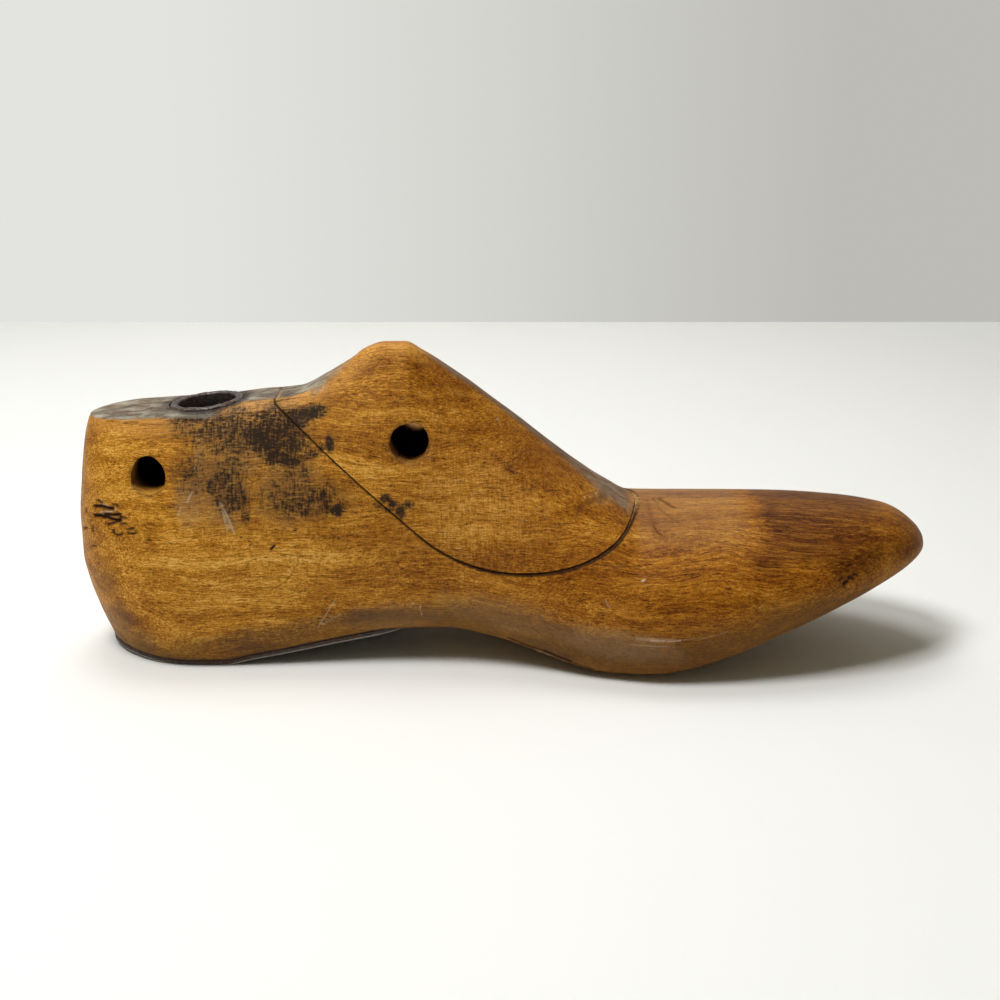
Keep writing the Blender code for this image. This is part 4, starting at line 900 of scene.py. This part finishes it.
class Shade:
    """A material's node tree, with short calls for the nodes that the finishes use."""

    def __init__(self, name, metallic=0.0, specular=0.5):
        self.material = bpy.data.materials.new(name)
        self.material.use_nodes = True
        self.tree = self.material.node_tree
        self.shader = self.tree.nodes["Principled BSDF"]
        self.shader.inputs["Metallic"].default_value = metallic
        self.shader.inputs["Specular IOR Level"].default_value = specular
        metres = self.node("ShaderNodeTexCoord").outputs["Object"]
        self.coords = self.vector_math("MULTIPLY", metres, (1000, 1000, 1000))

    def node(self, kind):
        return self.tree.nodes.new(kind)

    def put(self, socket, value):
        if isinstance(value, bpy.types.NodeSocket):
            self.tree.links.new(value, socket)
        elif socket.type == "RGBA":
            socket.default_value = (*value, 1.0)
        else:
            socket.default_value = value

    def math(self, operation, a, b=0.0, kind="ShaderNodeMath"):
        node = self.node(kind)
        node.operation = operation
        self.put(node.inputs[0], a)
        self.put(node.inputs[1], b)
        return node.outputs[0]

    def vector_math(self, operation, a, b):
        return self.math(operation, a, b, "ShaderNodeVectorMath")

    def times(self, a, b):
        return self.math("MULTIPLY", a, b)

    def plus(self, a, b):
        return self.math("ADD", a, b)

    def less(self, a, b):
        return self.math("SUBTRACT", a, b)

    def total(self, start, *parts):
        """Start with each (value, amount) added."""
        for value, amount in parts:
            start = self.plus(start, self.times(value, amount))
        return start

    def swing(self, wave, amount):
        """A noise about zero, times an amount."""
        return self.times(self.less(wave, 0.5), amount)

    def noise(self, scale, detail, roughness, shift, coords=None):
        """Noise with its own scale in 1/mm along each axis."""
        placed = self.vector_math("MULTIPLY", coords or self.coords, scale)
        if shift:
            placed = self.vector_math("ADD", placed, (shift, shift, shift))
        node = self.node("ShaderNodeTexNoise")
        self.put(node.inputs["Vector"], placed)
        for name, value in (("Scale", 1.0), ("Detail", detail), ("Roughness", roughness)):
            node.inputs[name].default_value = value
        return node.outputs[0]

    def field(self, name):
        node = self.node("ShaderNodeAttribute")
        node.attribute_name = name
        return node.outputs["Fac"]

    def step(self, value, low, high, low_out=0.0, high_out=1.0):
        """Soft step from low_out below low to high_out above high."""
        node = self.node("ShaderNodeMapRange")
        node.interpolation_type = "SMOOTHSTEP"
        self.put(node.inputs["Value"], value)
        for name, limit in (("From Min", low), ("From Max", high), ("To Min", low_out), ("To Max", high_out)):
            node.inputs[name].default_value = limit
        return node.outputs[0]

    def broken(self, name, wave, low, high, low_out, high_out=1.0):
        """A field broken up by a soft step of a noise."""
        return self.times(self.field(name), self.step(wave, low, high, low_out, high_out))

    def mix(self, factor, a, b, blend="MIX"):
        node = self.node("ShaderNodeMix")
        node.data_type = "RGBA"
        node.blend_type = blend
        self.put(node.inputs[0], factor)
        self.put(node.inputs[6], a)
        self.put(node.inputs[7], b)
        return node.outputs[2]

    def layers(self, colour, *layers):
        """A colour with layers over it: where each one lies, how strong it is and its own colour."""
        for cover, amount, paint in layers:
            colour = self.mix(self.times(cover, amount), colour, paint)
        return colour

    def ramp(self, factor, stops):
        node = self.node("ShaderNodeValToRGB")
        self.put(node.inputs[0], factor)
        elements = node.color_ramp.elements
        while len(elements) < len(stops):
            elements.new(0.5)
        for element, (position, colour) in zip(elements, stops):
            element.position = position
            element.color = (*colour, 1.0)
        return node.outputs[0]

    def from_left(self):
        """Distance in mm along X."""
        where = self.node("ShaderNodeSeparateXYZ")
        self.put(where.inputs[0], self.coords)
        return where.outputs[0]

    def finish(self, colour, roughness, height):
        """Link the finish; the bump height is in mm."""
        bump = self.node("ShaderNodeBump")
        bump.inputs["Strength"].default_value = 1.0
        bump.inputs["Distance"].default_value = MM
        self.put(bump.inputs["Height"], height)
        self.put(self.shader.inputs["Base Color"], colour)
        self.put(self.shader.inputs["Roughness"], roughness)
        self.put(self.shader.inputs["Normal"], bump.outputs[0])
        return self.material


def wood_finish(name, shift):
    """Old oiled beech: fine grain along the last, flecks, stains, rasp marks and wear."""
    s = Shade(name, specular=0.1)
    flow = s.swing(s.noise((0.02, 0.03, 0.03), 2, 0.5, shift), 12.0)
    bend = s.node("ShaderNodeCombineXYZ")
    s.put(bend.inputs[1], flow)
    s.put(bend.inputs[2], flow)
    grain = s.vector_math("ADD", s.coords, bend.outputs[0])
    fine = s.noise((0.2, 2.4, 2.4), 3, 0.7, shift, grain)
    streak = s.noise((0.03, 0.6, 0.6), 4, 0.65, shift + 4, grain)
    broad = s.noise((0.008, 0.21, 0.21), 3, 0.5, shift + 9, grain)
    cloud = s.noise((0.06, 0.08, 0.08), 4, 0.6, shift + 2)
    mottle = s.noise((0.8, 1.7, 1.7), 3, 0.65, shift + 5, grain)
    grit = s.noise((2.0, 3.2, 3.2), 2, 0.7, shift + 15)
    blot = s.noise((0.9, 1.3, 1.3), 2, 0.6, shift + 7)
    fleck = s.step(s.noise((0.42, 3.1, 3.1), 2, 0.5, shift + 1, grain), 0.62, 0.69)
    pores = s.step(s.noise((0.62, 2.9, 2.9), 2, 0.5, shift + 25, grain), 0.535, 0.64)
    open_grain = s.times(pores, s.step(cloud, 0.36, 0.6, 0.35, 1.0))

    # Thin dark lines that run with the grain, where the yearly rings come to the surface
    near_ring = s.math("ABSOLUTE", s.less(s.noise((0.035, 0.62, 0.62), 3, 0.55, shift + 21, grain), 0.5))
    ring = s.times(s.step(near_ring, 0.004, 0.024, 1.0, 0.0), s.step(mottle, 0.34, 0.58, 0.25, 1.0))

    tone = s.swing(fine, 1.2)
    for wave, amount in ((streak, 0.62), (broad, 0.8), (cloud, 0.62), (mottle, 0.8), (grit, 0.95)):
        tone = s.plus(tone, s.swing(wave, amount))
    # The lighter patches are partly lighter wood and partly painted light
    tone = s.total(tone, (ring, -0.2), (open_grain, -0.19), (s.field("light"), 0.17))
    colour = s.ramp(s.plus(tone, 0.55), [
        (0.0, (0.09, 0.022, 0.002)),
        (0.28, (0.255, 0.084, 0.006)),
        (0.55, (0.46, 0.188, 0.014)),
        (0.78, (0.69, 0.33, 0.04)),
        (1.0, (0.82, 0.48, 0.12)),
    ])
    colour = s.layers(colour, (fleck, 0.8, (0.07, 0.014, 0.003)))

    # Deeper colour towards the toe, partly the wood's own tone and partly painted shade away from the light
    # at the heel end, and the brown toe cap that a dip in stain left
    toe_tone_and_shade = s.times(s.step(s.from_left(), -80.0, 50.0), 0.85)
    colour = s.mix(toe_tone_and_shade, colour, (0.66, 0.53, 0.34), "MULTIPLY")
    toe_streak = s.noise((0.045, 1.7, 1.7), 3, 0.65, shift + 12, grain)
    colour = s.mix(s.broken("toe", toe_streak, 0.36, 0.6, 0.45), colour, (0.3, 0.24, 0.26), "MULTIPLY")
    colour = s.mix(s.broken("toe", toe_streak, 0.3, 0.44, 0.32, 0.0), colour, (0.42, 0.2, 0.045))

    # Rasp marks: upright strokes over level ones
    upright = s.noise((2.3, 0.42, 0.3), 2, 0.55, shift + 3)
    level = s.noise((0.3, 2.6, 2.6), 2, 0.55, shift + 6)
    weave = s.plus(s.times(upright, 0.55), s.times(level, 0.45))
    hatch = s.times(s.broken("hatch", blot, 0.3, 0.6, 0.35), s.step(weave, 0.42, 0.58, -1.0, 1.0))
    raised = s.math("MAXIMUM", hatch, 0.0)
    lowered = s.math("MAXIMUM", s.times(hatch, -1.0), 0.0)

    # Lower sides painted darker as shade, greyed haze with a painted sheen on the vamp, dirty and worn
    # places, and black stain held by the rasp marks in short strokes
    dull = s.broken("dull", mottle, 0.34, 0.62, 0.7)
    frayed = s.noise((0.22, 1.7, 1.7), 3, 0.65, shift + 17)
    soak = s.field("stain")
    strokes = s.noise((1.9, 0.42, 0.34), 3, 0.65, shift + 13, grain)
    threads = s.noise((0.5, 2.2, 2.2), 3, 0.65, shift + 14, grain)
    held = s.plus(s.swing(strokes, -2.6), s.swing(threads, -2.6))
    held = s.plus(s.plus(held, s.swing(blot, 1.8)), s.swing(grit, 1.6))
    stain = s.plus(s.less(s.times(soak, 1.6), 0.8), held)
    stain = s.times(s.step(stain, -0.45, 0.75), s.step(soak, 0.02, 0.25))
    colour = s.layers(
        colour,
        (raised, 0.2, (0.74, 0.42, 0.14)),
        (lowered, 0.34, (0.13, 0.042, 0.006)),
        (dull, 0.74, (0.118, 0.06, 0.016)),
        (s.broken("haze_and_sheen", weave, 0.36, 0.62, 0.6), 0.6, (0.29, 0.19, 0.105)),
        (s.field("rust"), 0.55, (0.15, 0.036, 0.005)),
        (s.broken("smudge", blot, 0.3, 0.62, 0.45), 0.8, (0.082, 0.04, 0.023)),
        (s.broken("worn", frayed, 0.36, 0.56, 0.55), 0.7, (0.78, 0.37, 0.085)),
        (s.broken("worn", frayed, 0.36, 0.43, 1.0, 0.0), 0.75, (0.11, 0.034, 0.008)),
        (soak, 0.62, (0.12, 0.066, 0.024)),
        (stain, 0.94, (0.018, 0.011, 0.008)))

    # Dirty grey top faces, then grime with painted shade over the plate, the marks with painted shade along
    # the saw line, and painted shade deep inside the holes
    dirt = s.broken("dirt", blot, 0.26, 0.5, 0.75)
    grey = s.ramp(s.noise((0.16, 0.3, 0.3), 5, 0.68, shift + 8), [
        (0.32, (0.055, 0.05, 0.046)),
        (0.46, (0.165, 0.145, 0.115)),
        (0.57, (0.33, 0.31, 0.24)),
        (0.72, (0.46, 0.45, 0.38)),
    ])
    colour = s.layers(
        s.mix(dirt, colour, grey),
        (s.broken("grime_and_shade", blot, 0.28, 0.52, 0.55), 1.0, (0.024, 0.017, 0.018)),
        (s.field("dent"), 0.6, (0.11, 0.036, 0.008)),
        (s.field("pale"), 0.8, (0.66, 0.54, 0.38)),
        (s.field("dark"), 1.0, (0.02, 0.007, 0.005)),
        (s.field("hole_shade"), 1.0, (0.004, 0.003, 0.002)))

    # Sawn faces, cleaner than the outside, scored across by the saw
    sawn = s.field("sawn")
    scored = s.noise((2.6, 0.05, 2.6), 2, 0.6, shift + 19)
    sawn_wood = s.ramp(scored, [(0.3, (0.3, 0.15, 0.05)), (0.7, (0.56, 0.33, 0.14))])
    colour = s.layers(colour, (sawn, 0.85, sawn_wood))

    # The painted shade in the holes also takes away their reflection
    s.put(s.shader.inputs["Specular IOR Level"], s.times(s.less(1.0, s.field("hole_shade")), 0.1))
    rough = s.total(0.36, (mottle, 0.2), (dirt, 0.22), (stain, 0.1), (dull, 0.08), (s.field("dark"), 0.35),
                    (sawn, 0.3), (s.field("hole_shade"), 0.5))
    height = s.total(0.0, (fine, 0.07), (streak, 0.035), (mottle, 0.04), (fleck, -0.06),
                     (open_grain, -0.03), (hatch, 0.026), (ring, -0.018), (s.times(sawn, scored), 0.1))
    rough_top = s.times(s.math("MAXIMUM", dirt, s.field("worn")), s.times(frayed, 0.55))
    return s.finish(colour, s.math("MINIMUM", rough, 0.95), s.plus(height, rough_top))


def metal_finish(name, bright, dark, rust, rust_cover, roughness, shift):
    """Old metal: bright and dark in patches and rusty in places, with a painted highlight where the mesh
    marks one.
    """
    s = Shade(name, metallic=1.0)
    patch = s.noise((0.25, 0.25, 0.25), 4, 0.65, shift)
    pit = s.noise((1.6, 1.6, 1.6), 3, 0.7, shift + 3)
    scratch = s.noise((0.35, 3.0, 3.0), 2, 0.5, shift + 5)
    rust_start = 0.62 - 0.25 * rust_cover
    rusty = s.step(s.plus(s.times(patch, 0.5), s.times(pit, 0.5)), rust_start, rust_start + 0.08)
    colour = s.mix(rusty, s.mix(s.step(patch, 0.35, 0.65), dark, bright), rust)
    # Painted highlight where the mesh marks one, such as the plate's lower edges
    colour = s.mix(s.broken("rim_highlight", pit, 0.3, 0.6, 0.45), colour, (0.58, 0.54, 0.5))
    s.put(s.shader.inputs["Metallic"], s.less(1.0, s.times(rusty, 0.85)))
    rough = s.total(roughness, (pit, 0.25), (rusty, 0.3))
    height = s.total(0.0, (pit, 0.05), (scratch, 0.02), (rusty, 0.03))
    return s.finish(colour, s.math("MINIMUM", rough, 0.95), height)


def thimble_line():
    """Where the thimble's rim sits, and the way down its bore."""
    seat = Vector((place(THIMBLE_STATION), THIMBLE_SHIFT, along(TOP_LINE, THIMBLE_STATION)))
    return seat, Vector((math.sin(THIMBLE_TILT), 0, -math.cos(THIMBLE_TILT)))


def pin_line():
    """The foot of the block's pin on the scoop floor, and the way the block lifts."""
    across = (PIN_STATION - CUT_LOW_STATION) * LAST_LENGTH
    height = CUT_LOW_HEIGHT + CUT_BACK_RADIUS - math.sqrt(CUT_BACK_RADIUS ** 2 - across ** 2)
    return Vector((place(PIN_STATION), 0, height)), Vector((-math.cos(LIFT_ANGLE), 0, math.sin(LIFT_ANGLE)))


def build_wood(wood, block_wood):
    """The worn last, sawn into its body and its block."""
    bm = last_skin()
    refine(bm, near_marks)
    refine(bm, near_cuts)
    bmesh.ops.recalc_face_normals(bm, faces=bm.faces)
    body = new_object("last_wood", bm, None)
    points, normals = mesh_arrays(body.data)
    points -= normals * wear_depth(points, normals)[:, None]
    points[:, 2] = np.maximum(points[:, 2], 0)
    body.data.vertices.foreach_set("co", points.ravel())
    body.data.update()
    block = bpy.data.objects.new("block_wood", body.data.copy())
    bpy.context.scene.collection.objects.link(block)
    cut(body, saw_cutter(0, 0, 1.0))
    cut(block, saw_cutter(KERF_BACK, KERF_UP, 5.0), "INTERSECT")

    # Room for the thimble, the hook, the pin and its bush
    inner = THIMBLE_BORE / 2
    outer = inner + THIMBLE_WALL + 0.5 * GAP
    lip = outer + LIP_REACH
    lip_seat = LIP_THICKNESS - LIP_RISE + 0.5 * GAP
    floor = THIMBLE_DEPTH + THIMBLE_END_ROOM
    well = [(0, floor), (inner, floor), (inner, THIMBLE_DEPTH + GAP), (outer, THIMBLE_DEPTH + GAP),
            (outer, lip_seat), (lip, lip_seat), (lip, -5 * MM), (0, -5 * MM)]
    cut(body, turned("well", well, HOLE_STEPS, None, *thimble_line()))
    cut(body, hole_cutter(*HEEL_HOLE, 1.2))
    cut(block, hole_cutter(*BLOCK_HOLE, 4.0))
    pin_room = rod(PIN_RADIUS + GAP, -PIN_BURIED - GAP, PIN_STANDING)
    bush_room = rod(PIN_RADIUS + 2 * GAP + BUSH_WALL, -BUSH_LENGTH, BUSH_LENGTH + GAP)
    cut(body, turned("pin_room", pin_room, PIN_STEPS, None, *pin_line()))
    cut(block, turned("bush_room", bush_room, PIN_STEPS, None, *pin_line()))

    pieces = ((body, wood, "last_body", "last"), (block, block_wood, "scoop_block", "block"))
    for obj, material, node, home in pieces:
        obj.data.materials.clear()
        obj.data.materials.append(material)
        obj.data.shade_smooth()
        obj.data.set_sharp_from_angle(angle=SHARP_ANGLE)
        write_fields(obj)
        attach(obj, home)
        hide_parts(node)


def build_thimble(material):
    """Steel thimble whose rolled lip is worn and slightly beaten."""
    inner = THIMBLE_BORE / 2
    outer = inner + THIMBLE_WALL
    lip = outer + LIP_REACH
    middle = (inner + lip) / 2
    profile = [(inner, THIMBLE_DEPTH * share) for share in (1.0, 0.75, 0.5, 0.25, 0.1, 0.05)]
    for i in range(LIP_STEPS + 1):
        angle = math.pi * i / LIP_STEPS
        across = middle - (lip - inner) / 2 * math.copysign(abs(math.cos(angle)) ** 0.8, math.cos(angle))
        profile.append((across, LIP_THICKNESS / 2 - LIP_RISE - LIP_THICKNESS / 2 * math.sin(angle) ** 0.8))
    profile += [(lip, LIP_THICKNESS - LIP_RISE), (outer, LIP_THICKNESS - LIP_RISE)]
    profile += [(outer, THIMBLE_DEPTH * share) for share in (0.1, 0.5, 1.0)]

    def beaten(point):
        near_rim = max(0.0, 1 - point.z / (2.5 * MM))
        waver = noise.noise(point / MM * 0.28) * 0.2 + noise.noise(point / MM * 0.9) * 0.1
        shift = waver * near_rim * MM
        return point + Vector((0, 0, shift)) - Vector((point.x, point.y, 0)).normalized() * shift * 0.5

    thimble = turned("thimble", profile, THIMBLE_STEPS, material, *thimble_line(), beaten)
    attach(thimble, "last")
    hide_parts("jack_thimble")


def plate_point(station, across):
    """A point on the plate's upper face; across runs from -1 at the arch side to 1."""
    size = section(station)
    side = -1 if across < 0 else 1
    front = rounded_end(PLATE_FRONT - station, PLATE_FRONT_ROUND, ROUND_POWER)
    half = (size[side][0] - PLATE_INSET * rounded_end(station, HEEL_ROUND, ROUND_POWER)) * front
    lift = (size["edge"] - size["sole"]) * abs(across * half / size[side][0]) ** SOLE_POWER
    height = size["sole"] + lift - GAP
    return Vector((place(station) + back_shift(station, height), size["middle"] + across * half, height))


def build_plate(material):
    """Thin iron heel plate, a little bent and pitted, with round edges."""
    stations = [s for s in skin_stations() if s < PLATE_FRONT - PLATE_FRONT_ROUND][::2]
    for i in range(PLATE_FRONT_STEPS + 1):
        turn = math.pi / 2 * (PLATE_FRONT_STEPS - i + 0.25) / (PLATE_FRONT_STEPS + 0.25)
        stations.append(PLATE_FRONT - PLATE_FRONT_ROUND * (1 - math.cos(turn)))
    rows = [math.sin(math.pi / 2 * k / PLATE_ROWS) for k in range(-PLATE_ROWS, PLATE_ROWS + 1)]
    ends = (0, len(rows) - 1)
    bm = bmesh.new()
    rings = []
    for station in stations:
        top = []
        for index, across in enumerate(rows):
            point = plate_point(station, across)
            bend = noise.noise(Vector((point.x, point.y, 0)) / MM * 0.09) * 0.1 * MM
            edge = 0.14 * MM if index in ends else 0.0
            top.append(point - Vector((0, 0, abs(bend) + edge)))
        low = [point - Vector((0, 0, PLATE_THICKNESS)) for point in top]
        sides = []
        for end, inward in ((-1, -2), (0, 1)):
            outward = (top[end] - top[inward]).normalized()
            sides.append((top[end] + low[end]) / 2 + outward * 0.15 * MM)
        bottom = []
        for index, point in enumerate(low[::-1]):
            edge = 0.28 * MM if index in ends else 0.0
            bottom.append((point.x, point.y, max(point.z + edge, 0.0)))
        rings.append([bm.verts.new(point) for point in (*top, sides[0], *bottom, sides[1])])
    # A painted highlight along the plate's lower edges
    low_corners = (len(rows) + 1, 2 * len(rows))
    rim_highlight = [1.0 if index in low_corners else 0.0 for _ in rings for index in range(len(rings[0]))]
    plate = closed_tube("plate", bm, rings, material)
    plate.data.attributes.new("rim_highlight", "FLOAT", "POINT").data.foreach_set("value", rim_highlight)
    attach(plate, "last")
    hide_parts("heel_plate")


def keep_with_finish(node, material):
    """A CAD piece whose shape is right, with its finish."""
    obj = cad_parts[node]
    obj.data.materials.clear()
    obj.data.materials.append(material)


def stage_sheet(name, turn, material):
    """A large flat sheet, turned about X."""
    bm = bmesh.new()
    bmesh.ops.create_grid(bm, x_segments=1, y_segments=1, size=STAGE_SIZE)
    bmesh.ops.transform(bm, matrix=Matrix.Rotation(turn, 4, "X"), verts=bm.verts)
    return new_object(name, bm, material)


def pale_stage():
    """Pale table and wall, wide enough for the camera from any side."""
    floor = stage_sheet("floor", 0.0, stage_finish("floor_white", (0.93, 0.93, 0.91), 0.6, None))
    wall = stage_sheet("wall", math.pi / 2, stage_finish("wall_grey", (0.6, 0.6, 0.58), 0.9, WALL_FALLOFF))
    wall.location = (0, WALL_DISTANCE, STAGE_SIZE)


def stage_finish(name, colour, roughness, painted_falloff):
    """Matt stage colour: with a painted falloff of light it glows in those colours from left to right for the
    camera and in reflections, else pale where it is far off.
    """
    s = Shade(name, specular=0.15)
    s.finish(colour, roughness, 0.0)
    glow = s.node("ShaderNodeEmission")
    path = s.node("ShaderNodeLightPath")
    if painted_falloff is None:
        away = s.node("ShaderNodeVectorMath")
        away.operation = "LENGTH"
        s.put(away.inputs[0], s.coords)
        s.put(glow.inputs[0], FAR_PALE)
        shown = s.times(path.outputs["Is Camera Ray"], s.step(away.outputs["Value"], 430.0, 800.0))
    else:
        s.put(glow.inputs[0], s.ramp(s.step(s.from_left(), -330.0, 330.0), painted_falloff))
        shown = s.math("MAXIMUM", path.outputs["Is Camera Ray"], path.outputs["Is Glossy Ray"])
    blend = s.node("ShaderNodeMixShader")
    s.put(blend.inputs[0], shown)
    s.put(blend.inputs[1], s.shader.outputs[0])
    s.put(blend.inputs[2], glow.outputs[0])
    s.put(s.tree.nodes["Material Output"].inputs["Surface"], blend.outputs[0])
    return s.material


def area_light(name, place_at, size, power):
    """A square lamp aimed at the last."""
    data = bpy.data.lights.new(name, "AREA")
    data.shape = "SQUARE"
    data.size = size
    data.energy = power
    lamp = bpy.data.objects.new(name, data)
    lamp.location = place_at
    lamp.rotation_mode = "QUATERNION"
    lamp.rotation_quaternion = (LAMP_AIM - lamp.location).to_track_quat("-Z", "Y")
    bpy.context.scene.collection.objects.link(lamp)


def sky():
    """Faint even light from all round, which the camera sees as pale."""
    world = bpy.data.worlds.new("studio")
    world.use_nodes = True
    nodes = world.node_tree.nodes
    links = world.node_tree.links
    background = nodes["Background"]
    background.inputs["Color"].default_value = (*SKY_COLOUR, 1.0)
    background.inputs["Strength"].default_value = SKY_STRENGTH
    seen = nodes.new("ShaderNodeBackground")
    seen.inputs["Color"].default_value = (*FAR_PALE, 1.0)
    blend = nodes.new("ShaderNodeMixShader")
    links.new(nodes.new("ShaderNodeLightPath").outputs["Is Camera Ray"], blend.inputs[0])
    links.new(background.outputs[0], blend.inputs[1])
    links.new(seen.outputs[0], blend.inputs[2])
    links.new(blend.outputs[0], nodes["World Output"].inputs["Surface"])
    bpy.context.scene.world = world


def camera():
    """The camera as in the photograph, looking down at the arch side."""
    data = bpy.data.cameras.new("camera")
    data.lens = LENS
    data.sensor_width = SENSOR
    data.clip_start = 10 * MM
    eye = bpy.data.objects.new("camera", data)
    eye.location = (CAMERA_SIDEWAYS, -CAMERA_DISTANCE * math.cos(CAMERA_TILT),
                    CAMERA_AIM_HEIGHT + CAMERA_DISTANCE * math.sin(CAMERA_TILT))
    eye.rotation_euler = (math.pi / 2 - CAMERA_TILT, 0, 0)
    scene = bpy.context.scene
    scene.collection.objects.link(eye)
    scene.camera = eye
    scene.view_settings.view_transform = "Standard"


# Each metal: bright, dark and rust colours, how much rust, roughness, and a shift of its noise
STEEL = metal_finish("thimble_steel_worn", (0.22, 0.2, 0.195), (0.07, 0.056, 0.05), (0.06, 0.03, 0.018),
                     0.6, 0.34, 2.0)
IRON = metal_finish("plate_iron_rusty", (0.16, 0.135, 0.125), (0.05, 0.042, 0.04), (0.085, 0.038, 0.022),
                    0.6, 0.42, 6.0)
NAIL_IRON = metal_finish("nail_iron_rusty", (0.2, 0.17, 0.16), (0.07, 0.06, 0.055), (0.09, 0.04, 0.022),
                         0.45, 0.38, 9.0)
PIN_STEEL = metal_finish("pin_steel_worn", (0.46, 0.44, 0.41), (0.26, 0.24, 0.22), (0.14, 0.07, 0.04),
                         0.2, 0.26, 12.0)
BRASS = metal_finish("bush_brass_dull", (0.62, 0.44, 0.18), (0.36, 0.24, 0.09), (0.16, 0.1, 0.04),
                     0.15, 0.3, 15.0)

build_wood(wood_finish("old_beech_worn", 0.0), wood_finish("block_beech_worn", 31.0))
build_thimble(STEEL)
build_plate(IRON)
for number in range(1, 10):
    keep_with_finish("heel_nail_%d" % number, NAIL_IRON)
keep_with_finish("block_pin", PIN_STEEL)
keep_with_finish("pin_bush", BRASS)
pale_stage()
sky()
area_light("key", (-0.3, -0.18, 0.8), 0.28, 5.2)
area_light("side", (-0.12, 0.26, 0.85), 0.36, 2.6)
camera()
